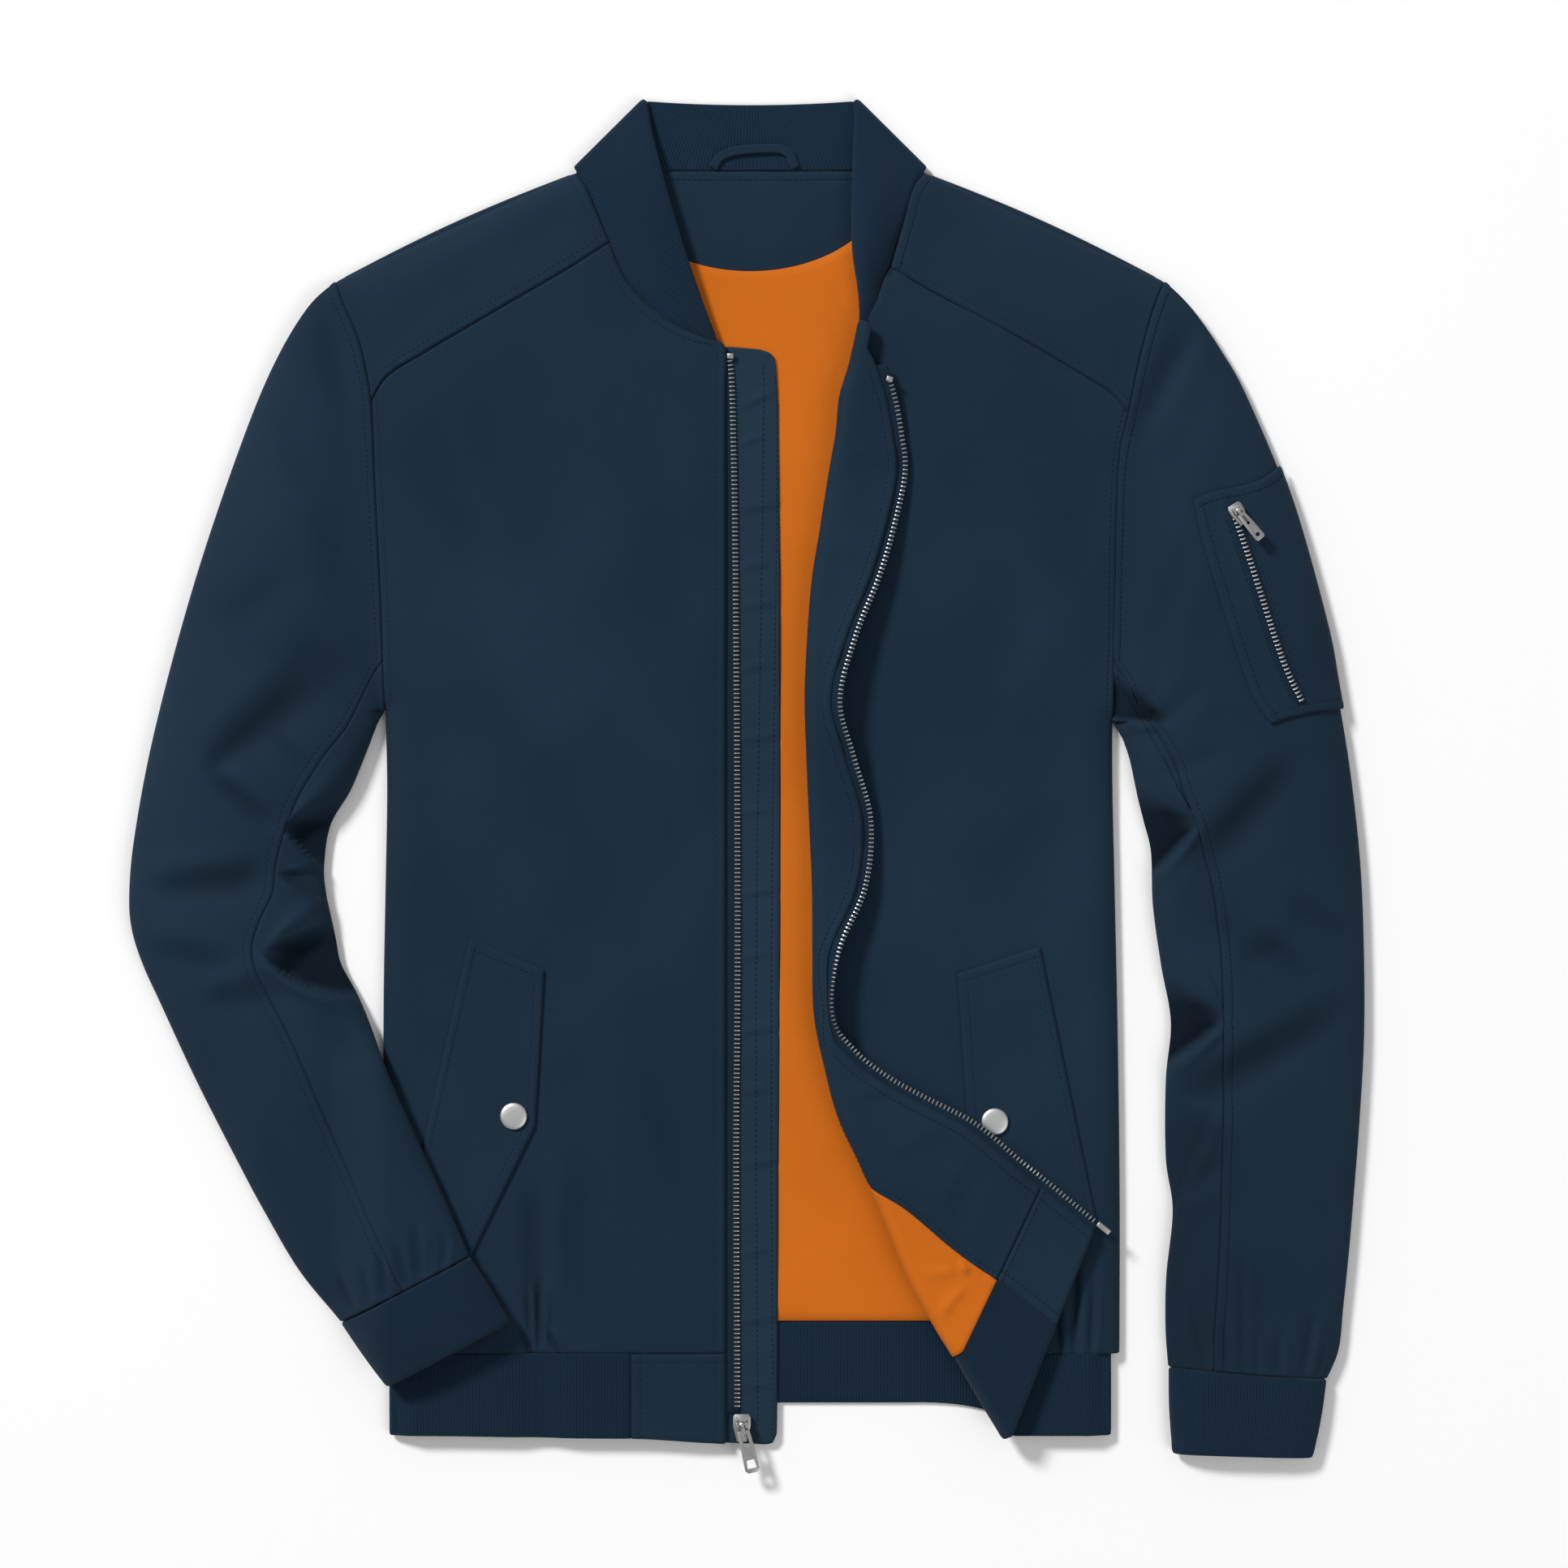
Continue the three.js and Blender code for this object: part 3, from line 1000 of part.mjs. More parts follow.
const slider = {
  width: 9, length: 14, head: 5, shoulder: 3.5, waist: 1, body: 3,
  barZ: 2.5, bar: 0.75, earGap: 3.4, earWide: 1.2, earBack: 2.2, earTop: 1.3,
};
const pull = { neck: 2, ringOuter: 1.9, ringInner: 1.1, thick: 1.4 };
const windowPull = {
  neckFrom: 1.1, neckLong: 2.9, plateFrom: 3.2, length: 25, topWide: 6.4, endWide: 7.8, corner: 1.5,
  hole: [[-2.4, -22.8], [2.4, -22.8], [1.9, -18.4], [-1.9, -18.4]],
  slot: [[-1.6, -11.5], [1.6, -11.5], [1.4, -5], [-1.4, -5]],
};
const holePull = {
  neckFrom: 1.1, neckLong: 2.6, plateFrom: 2.8,
  plate: [[-2.5, -2.8], [2.5, -2.8], [3.1, -12], [3.3, -21.5], [2.4, -22.8], [-2.4, -22.8], [-3.3, -21.5], [-3.1, -12]],
  slot: [[-0.9, -11], [0.9, -11], [0.9, -4.4], [-0.9, -4.4]],
  holeY: -19.2, holeRadius: 1.4,
};

function shapeOf(points) {
  return new THREE.Shape(points.map(([x, y]) => new THREE.Vector2(x, y)));
}

// The slider's body with two ears and a bar between them, its underside at z = 0
function sliderGeometry(scale) {
  const half = slider.width / 2;
  const endY = slider.head - slider.length;
  const body = shapeOf([
    [-half, slider.shoulder], [1 - half, slider.head], [half - 1, slider.head], [half, slider.shoulder],
    [half, -slider.waist], [half - 2, endY], [2 - half, endY], [-half, -slider.waist],
  ]);
  const plate = new THREE.ExtrudeGeometry(body, { depth: slider.body, bevelEnabled: false });
  const { earBack, earTop } = slider;
  const earEnd = slider.barZ + earTop;
  const earSide = shapeOf([[-earBack, -0.5], [earBack, -0.5], [earTop, earEnd], [-earTop, earEnd]]);
  const ears = [-1, 1].map((side) => {
    const ear = new THREE.ExtrudeGeometry(earSide, { depth: slider.earWide, bevelEnabled: false });
    ear.rotateY(Math.PI / 2).rotateX(Math.PI / 2);
    const earX = side * (slider.earGap + slider.earWide) / 2;
    return ear.translate(earX - slider.earWide / 2, 0, slider.body);
  });
  const bar = new THREE.CylinderGeometry(slider.bar, slider.bar, slider.earGap + slider.earWide, 12);
  bar.rotateZ(Math.PI / 2).translate(0, 0, slider.body + slider.barZ);
  return joined([plate, ...ears, bar]).scale(scale, scale, scale);
}

function pathOf(points) {
  return new THREE.Path(points.map(([x, y]) => new THREE.Vector2(x, y)));
}

// The long plate of the main pull, with a slot at its neck and a window near its end
function windowPlate() {
  const { plateFrom, length, topWide, endWide, corner, hole, slot } = windowPull;
  const shape = shapeOf([
    [-topWide / 2, -plateFrom], [topWide / 2, -plateFrom], [endWide / 2, corner - length],
    [endWide / 2 - corner, -length], [corner - endWide / 2, -length], [-endWide / 2, corner - length],
  ]);
  shape.holes.push(pathOf(hole), pathOf(slot));
  return shape;
}

// The short plate of the sleeve's pull, with a slot at its neck and a round hole
function holePlate() {
  const { plate, slot, holeY, holeRadius } = holePull;
  const shape = shapeOf(plate);
  shape.holes.push(pathOf(slot));
  const round = spread(0, 2 * Math.PI, 14).slice(1);
  shape.holes.push(new THREE.Path(round.map((turn) => (
    new THREE.Vector2(holeRadius * Math.cos(turn), holeY + holeRadius * Math.sin(turn))
  ))));
  return shape;
}

// The pull: a ring round the bar, a neck and a flat plate with a window or a hole
function pullGeometry(kind) {
  const isWindow = kind === "window";
  const { ringOuter, ringInner, neck: wide } = pull;
  const ring = new THREE.CylinderGeometry(ringOuter, ringOuter, wide, 20).rotateZ(Math.PI / 2);
  const hole = new THREE.CylinderGeometry(ringInner, ringInner, wide + 2, 16).rotateZ(Math.PI / 2);
  const { neckFrom, neckLong } = isWindow ? windowPull : holePull;
  const neck = new THREE.BoxGeometry(wide, neckLong, pull.thick).translate(0, -neckLong / 2 - neckFrom, 0);
  const plateShape = isWindow ? windowPlate() : holePlate();
  const plate = new THREE.ExtrudeGeometry(plateShape, { depth: pull.thick, bevelEnabled: false });
  return joined([ring, neck, plate.translate(0, 0, -pull.thick / 2)], [hole]);
}

// Where each slider sits: the middle of its bar's foot, its outward direction and its pull's way
const mainZip = { x: -4.6, y: -352, z: windFlapZ + windFlapThick + gap, turn: 0, pullTurn: 0.24, scale: 1.08 };
const sleeveZip = { across: 0.38, down: 0.084, turn: 0.55, pullTurn: 0.14, scale: 0.88 };

// A slider and its pull in a group; the pull turns about the bar
function buildSlider(names, kind, place, scale, pullTurn) {
  const holder = new THREE.Group();
  holder.applyMatrix4(place);
  const metal = () => new THREE.MeshStandardMaterial({ color: colours.metal, roughness: 0.35, metalness: 1 });
  const body = new THREE.Mesh(sliderGeometry(scale), metal());
  body.name = names.body;
  const tab = new THREE.Mesh(pullGeometry(kind).scale(scale, scale, scale), metal());
  tab.name = names.pull;
  tab.position.z = (slider.body + slider.barZ) * scale;
  tab.rotation.z = pullTurn;
  holder.add(body, tab);
  group.add(holder);
}

function buildSliders() {
  const main = new THREE.Matrix4().makeRotationZ(mainZip.turn).setPosition(mainZip.x, mainZip.y, mainZip.z);
  buildSlider({ body: "slider_main", pull: "pull_main" }, "window", main, mainZip.scale, mainZip.pullTurn);
  const { across, down, turn, scale, pullTurn } = sleeveZip;
  const normal = pocketNormal(across, down);
  const fromTip = new THREE.Vector3(-Math.sin(turn), Math.cos(turn), 0);
  const right = fromTip.cross(normal).normalize();
  const foot = pocketAt(across, down).addScaledVector(normal, pocketHigh + sleeveTapeThick + 3 * gap);
  const place = new THREE.Matrix4().makeBasis(right, normal.clone().cross(right), normal).setPosition(foot);
  buildSlider({ body: "slider_sleeve", pull: "pull_sleeve" }, "hole", place, scale, pullTurn);
}

// Stops at the zip's top and the pin at the lower end of its left half

const stop = {
  wide: 3.6, long: 3, high: 1.6, rightX: -11, rightY: 238.5, leftRow: foldFirstRow + 2.45, leftTurn: -0.3,
};
const pin = { long: 8.4, wide: 3, high: 1.8, clear: 0.7, turn: -0.68 };

function buildStops() {
  const right = new THREE.BoxGeometry(stop.wide, stop.long, stop.high);
  right.translate(stop.rightX, stop.rightY, tapeZ + thick.tape + gap + stop.high / 2);
  addPiece("zip_stop_right", right, colours.metal, 0.35, 1);
  const at = turnedPoint(turnedLength(stop.leftRow), stop.leftRow);
  const left = new THREE.BoxGeometry(stop.wide, stop.long, stop.high).rotateZ(stop.leftTurn);
  left.translate(at.x, at.y, at.z + thick.tape / 2 + gap + stop.high / 2 + 0.1);
  addPiece("zip_stop_left", left, colours.metal, 0.35, 1);
  const end = turnedPoint(turnedLength(leftRowEnd + 1), leftRowEnd + 1);
  const bar = new THREE.BoxGeometry(pin.long, pin.wide, pin.high).translate(pin.long / 2 + pin.clear, 0, 0);
  bar.rotateZ(pin.turn).translate(end.x, end.y, end.z);
  addPiece("zip_pin", bar, colours.metal, 0.35, 1);
}

buildRightFront();
buildYoke(-1, "yoke_right");
buildYoke(1, "yoke_left");
buildLeftFront();
buildLeftFacing();
buildLeftLining();
buildLeftTape();
buildSleeve(-1, "sleeve_right");
buildSleeve(1, "sleeve_left");
buildCuff(-1, "cuff_right", rightCuffRows, carriedBase);
buildCuff(1, "cuff_left", leftCuffRows, none);
buildBack();
buildBackLining();
buildCollar();
buildHangerLoop();
buildHem();
buildTabs();
addWindFlap();
buildRightTape();
buildFlap("pocket_flap_right", rightFlapCorners);
buildFlap("pocket_flap_left", leftFlapCorners);
buildSnap("snap_right", snaps.rightX, snaps.rightY);
buildSnap("snap_left", snaps.leftX, snaps.leftY);
buildSleevePocket();
buildSliders();
buildStops();

export default group;
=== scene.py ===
import bpy
import json
import numpy as np
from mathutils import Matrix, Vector

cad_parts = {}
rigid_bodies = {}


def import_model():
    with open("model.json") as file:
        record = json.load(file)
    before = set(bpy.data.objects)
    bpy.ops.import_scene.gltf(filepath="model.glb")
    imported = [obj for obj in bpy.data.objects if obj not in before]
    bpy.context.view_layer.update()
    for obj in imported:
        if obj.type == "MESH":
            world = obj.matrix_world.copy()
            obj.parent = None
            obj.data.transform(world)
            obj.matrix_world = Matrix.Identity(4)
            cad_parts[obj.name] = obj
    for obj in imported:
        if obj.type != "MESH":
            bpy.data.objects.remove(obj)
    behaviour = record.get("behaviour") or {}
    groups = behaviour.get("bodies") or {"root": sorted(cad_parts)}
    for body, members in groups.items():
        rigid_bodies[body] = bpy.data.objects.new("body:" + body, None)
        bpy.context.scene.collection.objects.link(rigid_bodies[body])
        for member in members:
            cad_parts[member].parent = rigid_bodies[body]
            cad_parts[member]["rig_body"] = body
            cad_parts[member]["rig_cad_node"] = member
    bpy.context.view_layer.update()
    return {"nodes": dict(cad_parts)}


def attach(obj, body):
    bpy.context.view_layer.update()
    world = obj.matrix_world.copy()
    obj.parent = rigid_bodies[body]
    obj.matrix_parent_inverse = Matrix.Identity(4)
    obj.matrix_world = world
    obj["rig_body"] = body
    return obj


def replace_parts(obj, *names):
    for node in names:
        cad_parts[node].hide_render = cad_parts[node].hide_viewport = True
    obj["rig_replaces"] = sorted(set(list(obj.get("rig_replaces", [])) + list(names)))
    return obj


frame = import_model()
nodes = frame["nodes"]
bpy.ops.object.select_all(action="DESELECT")

# Sizes are in millimetres up to the moment a mesh is made. The wearer's right side is at -X, the neck at +Y.
mm = 0.001
thick = {"shell": 1.4, "sleeve": 1.2, "facing": 1.0, "lining": 1.0, "rib": 2.2, "cuff": 1.8, "flap": 1.2,
         "windFlap": 1.2, "tape": 0.8, "tab": 1.8}
gap = 0.3
lie = {"edgeTop": 3.1, "rise": 6.0, "reach": 18.0, "closingDip": 1.5, "dipReach": 12.0}
liningZ = thick["shell"] + gap
windFlapZ = liningZ + thick["lining"] + gap
tapeZ = windFlapZ + thick["windFlap"] + 0.4
hem = {"seamY": -313.0, "endY": -358.0, "backSeamY": -296.0, "backEndY": -340.5, "dropFrom": 100.0,
       "drop": 17.0, "halfWidth": 198.7}
shoulder = {"neckX": 97.0, "neckY": 340.0, "endX": 229.0, "endY": 280.0}


def tableOf(names, *rows):
    return {name: np.array([row[k] for row in rows], float) for k, name in enumerate(names.split())}


def emptyTable(names):
    return {name: np.zeros(0) for name in names.split()}


foldNames = "fromX fromY toX toY fromHalf toHalf fromDepth toDepth"
tuckNames = "tipX tipY lowX lowY highX highY bow depth"
creaseNames = "fromX fromY toX toY half depth"


def mix(a, b, t):
    return a + (b - a) * t


def smooth(x, a, b):
    t = np.clip((np.asarray(x, float) - a) / (b - a), 0, 1)
    return t * t * (3 - 2 * t)


def through(key, value):  # a smooth function through a table
    key, value = np.asarray(key, float), np.asarray(value, float)
    sign = np.sign(key[-1] - key[0])
    key = key * sign
    before = np.maximum(np.arange(len(key)) - 1, 0)
    after = np.minimum(np.arange(len(key)) + 1, len(key) - 1)
    slope = (value[after] - value[before]) / (key[after] - key[before])

    def at(x):
        x = np.asarray(x, float) * sign
        i = np.clip(np.searchsorted(key, x, side="right") - 1, 0, len(key) - 2)
        span = key[i + 1] - key[i]
        past = (x - key[i]) / span
        t = np.clip(past, 0, 1)
        keep, leave, arrive = 2 * t**3 - 3 * t**2 + 1, t**3 - 2 * t**2 + t, t**3 - t**2
        run = np.where(past > t, slope[i + 1], slope[i])
        return keep * value[i] + (1 - keep) * value[i + 1] + span * (
            leave * slope[i] + arrive * slope[i + 1] + (past - t) * run)
    return at


def columnsOf(table):
    return {name: through(np.arange(len(values)), values) for name, values in table.items()}


def joinTables(a, b):
    return {name: np.concatenate([a[name], b[name]]) for name in a}


def planCurve(*points):  # a curve in plan through a few points, read by its share of length
    p = np.array(points, float)
    p = np.vstack([2 * p[0] - p[1], p, 2 * p[-1] - p[-2]])
    t = np.linspace(0, 1, 40)[:, None]
    parts = []
    for k in range(1, len(p) - 2):
        d0, d1, d2 = (np.hypot(*(p[k + j] - p[k + j - 1])) ** 0.5 for j in (0, 1, 2))
        leave = (p[k] - p[k - 1]) / d0 - (p[k + 1] - p[k - 1]) / (d0 + d1) + (p[k + 1] - p[k]) / d1
        arrive = (p[k + 1] - p[k]) / d1 - (p[k + 2] - p[k]) / (d1 + d2) + (p[k + 2] - p[k + 1]) / d2
        parts.append((2 * t**3 - 3 * t**2 + 1) * p[k] + (t**3 - 2 * t**2 + t) * leave * d1
                     + (3 * t**2 - 2 * t**3) * p[k + 1] + (t**3 - t**2) * arrive * d1)
    line = np.vstack(parts)
    run = np.concatenate([[0], np.cumsum(np.hypot(*np.diff(line, axis=0).T))])

    def at(share):
        return np.stack([np.interp(np.asarray(share) * run[-1], run, line[:, k]) for k in (0, 1)], -1)
    return at


def unit(v):
    return v / np.maximum(np.linalg.norm(v, axis=-1, keepdims=True), 1e-9)


def stacked(x, y, z):
    return np.stack(np.broadcast_arrays(*(np.asarray(v, float) for v in (x, y, z))), -1)


def normalsOf(grid, around=False):
    if around:
        wide = np.concatenate([grid[:, -1:], grid, grid[:, :1]], 1)
        across = wide[:, 2:] - wide[:, :-2]
    else:
        across = np.gradient(grid, axis=1)
    return unit(np.cross(across, np.gradient(grid, axis=0)))


# Places across a panel, close together beside a sewn edge so that the seam and its stitch line have a form
def placesOf(length, step, fineStart=False, fineEnd=False):
    fine = np.array([0, 0.35, 0.8, 1.4, 2.2, 3.1, 3.9, 4.5, 5.0, 5.5, 6.2, 7.4, 9.2])
    start = fine if fineStart else np.zeros(1)
    end = length - fine[::-1] if fineEnd else np.array([length])
    count = max(int(round((end[0] - start[-1]) / step)), 1)
    middle = np.linspace(start[-1], end[0], count + 1)[1:-1]
    return np.concatenate([start, middle, end]) / length


def runsOf(grid):  # distances from the first and last column, and from the first and last row
    across = np.linalg.norm(np.diff(grid, axis=1), axis=2)
    along = np.linalg.norm(np.diff(grid, axis=0), axis=2)
    left = np.concatenate([np.zeros((len(grid), 1)), np.cumsum(across, 1)], 1)
    top = np.concatenate([np.zeros((1, grid.shape[1])), np.cumsum(along, 0)], 0)
    return {"first": left, "last": left[:, -1:] - left, "top": top, "bottom": top[-1:] - top}


sewing = {"fall": 0.6, "fallHalf": 0.5, "swell": 0.2, "line": 5.0, "groove": 0.26, "grooveHalf": 0.45}


def sewn(d, stitched=True):  # the form of a sewn edge: it falls into the seam and swells over the allowance
    fall = -sewing["fall"] * np.exp(-(d / sewing["fallHalf"]) ** 2)
    if not stitched:
        return fall
    swell = sewing["swell"] * smooth(d, 0.5, 1.7) * (1 - smooth(d, 4.3, 5.9))
    return fall + swell - sewing["groove"] * np.exp(-((d - sewing["line"]) / sewing["grooveHalf"]) ** 2)


def pressed(folds, x, y):  # soft troughs, each growing from its tip to its mouth
    total = np.zeros(np.broadcast(x, y).shape)
    for row in zip(*folds.values()):
        fromX, fromY, toX, toY, fromHalf, toHalf, fromDepth, toDepth = row
        runX, runY = toX - fromX, toY - fromY
        share = np.clip(((x - fromX) * runX + (y - fromY) * runY) / (runX**2 + runY**2), 0, 1)
        away = np.hypot(x - fromX - share * runX, y - fromY - share * runY)
        total = total + mix(fromDepth, toDepth, share) * np.exp(-(away / mix(fromHalf, toHalf, share)) ** 2)
    return total


# For each wedge: its depth and length, and at a place the distance from its tip and the turn from its low
# side, in radians and as a share of the wedge
def wedgesAt(tucks, x, y):
    for tipX, tipY, lowX, lowY, highX, highY, bow, depth in zip(*tucks.values()):
        mirror = np.sign(lowX - tipX)
        length = np.hypot(lowX - tipX, lowY - tipY)
        away = np.hypot(x - tipX, y - tipY)
        low = np.arctan2(lowY - tipY, (lowX - tipX) * mirror) - bow * np.clip(1 - away / length, 0, 1)
        high = np.arctan2(highY - tipY, (highX - tipX) * mirror)
        turn = np.arctan2(y - tipY, (x - tipX) * mirror) - low
        yield depth, length, away, turn, turn / (high - low)


wedgeReach = 0.6 * np.pi  # how far round its tip a wedge still shapes the cloth


def tucked(tucks, x, y):  # deep wedges that open from a tip to the sleeve's edge, steep above and sharp below
    total = np.zeros(np.broadcast(x, y).shape)
    for depth, length, away, turn, share in wedgesAt(tucks, x, y):
        below = away * np.sin(np.clip(-turn, 0, np.pi / 2))
        lip = 1.2 + 0.03 * away
        brim = 0.2 * np.exp(-((share - 1.25) / 0.16) ** 2)
        floor = (1 - 0.18 * share) * (1 - smooth(share, 0.66, 1.02)) - brim
        ledge = 1 - smooth(below, 0, lip) - 0.24 * np.exp(-((below - 2.4 * lip) / (1.5 * lip)) ** 2)
        form = np.where(share > 0, floor, ledge) * (np.abs(turn) < wedgeReach)
        total = total + depth * form * smooth(away / length, 0.0, 0.4)
    return total


def paintedWedgeShade(tucks, x, y):  # 0 to 1: how much shade is painted into the colour for lying in the shade of a wedge's own walls
    total = np.zeros(np.broadcast(x, y).shape)
    for depth, length, away, turn, share in wedgesAt(tucks, x, y):
        deep = smooth(depth, 0.4, 0.9)
        paintedShade = smooth(share, -mix(0.75, 0.06, deep), 0.05) * (1 - smooth(share, mix(0.2, 0.62, deep), 1.08))
        paintedShade = paintedShade * smooth(away / length, 0.0, 0.3) * (np.abs(turn) < wedgeReach)
        total = np.maximum(total, depth * paintedShade)
    return total


# Strengths of the shade painted into the cloth's colour: in creases, in pressed folds, in wedges, and the
# most there is
tint = {"crease": 0.13, "fold": 0.7, "wedge": 0.8, "most": 0.85}


def paintedShadeOf(x, y, creases, folds=None, tucks=None):  # how much shade is painted into the colour at a place, for the light its creases, folds and wedges keep off it
    paintedShade = tint["crease"] * np.maximum(-creased(creases, x, y), 0)
    if folds is not None:
        paintedShade = np.maximum(paintedShade + tint["fold"] * pressed(folds, x, y), tint["wedge"] * paintedWedgeShade(tucks, x, y))
    return np.minimum(paintedShade, tint["most"])


def creased(folds, x, y):  # listed creases: a trough with a ridge on its left side, fading at both ends
    total = np.zeros(np.broadcast(x, y).shape)
    for fromX, fromY, toX, toY, half, depth in zip(*folds.values()):
        runX, runY = toX - fromX, toY - fromY
        length = np.hypot(runX, runY)
        share = ((x - fromX) * runX + (y - fromY) * runY) / length**2
        side = ((y - fromY) * runX - (x - fromX) * runY) / length
        fade = np.exp(-((share - 0.5) / 0.42) ** 4)
        wave = np.exp(-(side / half) ** 2) - 0.6 * np.exp(-((side - 1.7 * half) / (1.1 * half)) ** 2)
        total = total - depth * fade * wave
    return total


def sway(x, y, height=0.35):  # the slow unevenness of cloth that lies loose
    return height * (np.sin(x / 29 + y / 61 + 0.6) * np.sin(y / 43 - x / 83 + 1.9)
                     + 0.6 * np.sin(x / 17 - y / 31 + 2.4) * np.sin(y / 23 + 0.7))


print("tables and curves are ready")

# Materials


def newMaterial(name, colour, roughness, metallic=0.0, sheen=0.0):
    material = bpy.data.materials.new(name)
    material.use_nodes = True
    shader = material.node_tree.nodes["Principled BSDF"]
    shader.inputs["Base Color"].default_value = (*colour, 1)
    shader.inputs["Roughness"].default_value = roughness
    shader.inputs["Metallic"].default_value = metallic
    shader.inputs["Sheen Weight"].default_value = sheen
    shader.inputs["Specular IOR Level"].default_value = 0.5 if metallic else 0.05
    shader.inputs["Sheen Roughness"].default_value = 0.5
    return material, material.node_tree, shader


def node(tree, kind, **inputs):
    made = tree.nodes.new(kind)
    for name, value in inputs.items():
        socket = made.inputs[name.replace("_", " ")]
        if isinstance(value, bpy.types.NodeSocket):
            tree.links.new(value, socket)
        else:
            socket.default_value = value
    return made


def noise(tree, coordinates, scale, detail, roughness):
    made = node(tree, "ShaderNodeTexNoise", Vector=coordinates, Scale=scale, Detail=detail,
                Roughness=roughness)
    return made.outputs["Fac"]


def dyePatchesAndPaintedShade(tree, shader, dark, light, scale):  # two tints of the dye, in slow patches, darkened by the shade painted into the colour in creases, folds and wedges
    place = tree.nodes.new("ShaderNodeTexCoord")
    patches = noise(tree, place.outputs["Object"], scale, 4.0, 0.55)
    tints = tree.nodes.new("ShaderNodeMix")
    tints.data_type = "RGBA"
    tree.links.new(patches, tints.inputs["Factor"])
    tints.inputs[6].default_value = (*dark, 1)
    tints.inputs[7].default_value = (*light, 1)
    # painted shade: the point attribute darkens the colour towards a quarter of the dark tint where the cloth
    # folds away from the light
    folds = tree.nodes.new("ShaderNodeAttribute")
    folds.attribute_name = "fold"
    paintedShadeMix = tree.nodes.new("ShaderNodeMix")
    paintedShadeMix.data_type = "RGBA"
    tree.links.new(folds.outputs["Fac"], paintedShadeMix.inputs["Factor"])
    tree.links.new(tints.outputs[2], paintedShadeMix.inputs[6])
    paintedShadeMix.inputs[7].default_value = (*(channel * 0.25 for channel in dark), 1)
    tree.links.new(paintedShadeMix.outputs[2], shader.inputs["Base Color"])
    return place


def wave(tree, coordinates, direction, pitch):  # bands across the piece's own UV, pitch in centimetres
    made = tree.nodes.new("ShaderNodeTexWave")
    made.bands_direction = direction
    made.inputs["Scale"].default_value = 0.314 / pitch
    made.inputs["Distortion"].default_value = 0.6
    made.inputs["Detail"].default_value = 1.0
    tree.links.new(coordinates, made.inputs["Vector"])
    return made.outputs["Fac"]


def added(tree, a, b, share):
    scaled = node(tree, "ShaderNodeMath")
    scaled.operation = "MULTIPLY_ADD"
    tree.links.new(b, scaled.inputs[0])
    scaled.inputs[1].default_value = share
    tree.links.new(a, scaled.inputs[2])
    return scaled.outputs[0]


def bumped(tree, shader, height, strength, distance):
    bump = node(tree, "ShaderNodeBump", Height=height, Strength=strength, Distance=distance)
    tree.links.new(bump.outputs["Normal"], shader.inputs["Normal"])


weave = {"dark": (0.0062, 0.0178, 0.0330), "light": (0.0142, 0.0330, 0.0572), "patches": 7.5, "pitch": 0.07}


def wovenCloth(name, dark, light, roughness=0.72, sheen=0.04):
    material, tree, shader = newMaterial(name, light, roughness, sheen=sheen)
    place = dyePatchesAndPaintedShade(tree, shader, dark, light, weave["patches"])
    warp = wave(tree, place.outputs["UV"], "X", weave["pitch"])
    weft = wave(tree, place.outputs["UV"], "Y", weave["pitch"] * 0.93)
    grain = noise(tree, place.outputs["UV"], 7.0, 5.0, 0.65)
    height = added(tree, added(tree, warp, weft, 1.0), grain, 1.6)
    bumped(tree, shader, height, 0.35, 0.00012)
    return material


navyCloth = wovenCloth("navy woven cloth", weave["dark"], weave["light"])
windFlapCloth = wovenCloth("navy woven cloth of the wind flap", (0.0090, 0.0225, 0.0405),
                           (0.0180, 0.0400, 0.0660))
orangeLining = wovenCloth("orange lining", (0.50, 0.112, 0.006), (0.66, 0.165, 0.014), 0.6, 0.03)

ribs = {"dark": (0.0056, 0.0168, 0.0330), "light": (0.0090, 0.0242, 0.0458), "pitch": 0.17}


def ribKnit(name, tint=1.0):
    dark, light = (tuple(channel * tint for channel in ribs[tone]) for tone in ("dark", "light"))
    material, tree, shader = newMaterial(name, light, 0.85, sheen=0.06)
    place = dyePatchesAndPaintedShade(tree, shader, dark, light, 7.0)
    columns = wave(tree, place.outputs["UV"], "X", ribs["pitch"])
    stitches = wave(tree, place.outputs["UV"], "Y", 0.09)
    grain = noise(tree, place.outputs["UV"], 9.0, 4.0, 0.6)
    height = added(tree, added(tree, columns, stitches, 0.35), grain, 0.9)
    bumped(tree, shader, height, 0.8, 0.0004)
    return material


navyRib = ribKnit("navy rib knit")
collarRib = ribKnit("navy rib knit of the collar", 1.17)
darkTape = wovenCloth("zip tape", (0.0068, 0.0170, 0.0310), (0.0096, 0.0232, 0.0410), 0.85)
navyThread, _, _ = newMaterial("navy thread", (0.0062, 0.0155, 0.0290), 0.7)
orangeThread, _, _ = newMaterial("orange thread", (0.56, 0.14, 0.010), 0.6)


def metalFinish(name, colour, roughness, fineness):
    material, tree, shader = newMaterial(name, colour, roughness, metallic=1.0)
    place = tree.nodes.new("ShaderNodeTexCoord")
    grain = noise(tree, place.outputs["Object"], fineness, 3.0, 0.6)
    bumped(tree, shader, grain, 0.25, 0.00008)
    return material


snapMetal = metalFinish("snap metal", (0.62, 0.63, 0.63), 0.5, 900.0)
satinMetal = metalFinish("satin metal", (0.44, 0.44, 0.435), 0.46, 900.0)
toothMetal = metalFinish("zip tooth metal", (0.52, 0.515, 0.50), 0.36, 1400.0)

print("materials are ready")

# Meshes of thin cloth with soft rims


rimRound = 0.35  # how far a rim stands out, as a share of the wall


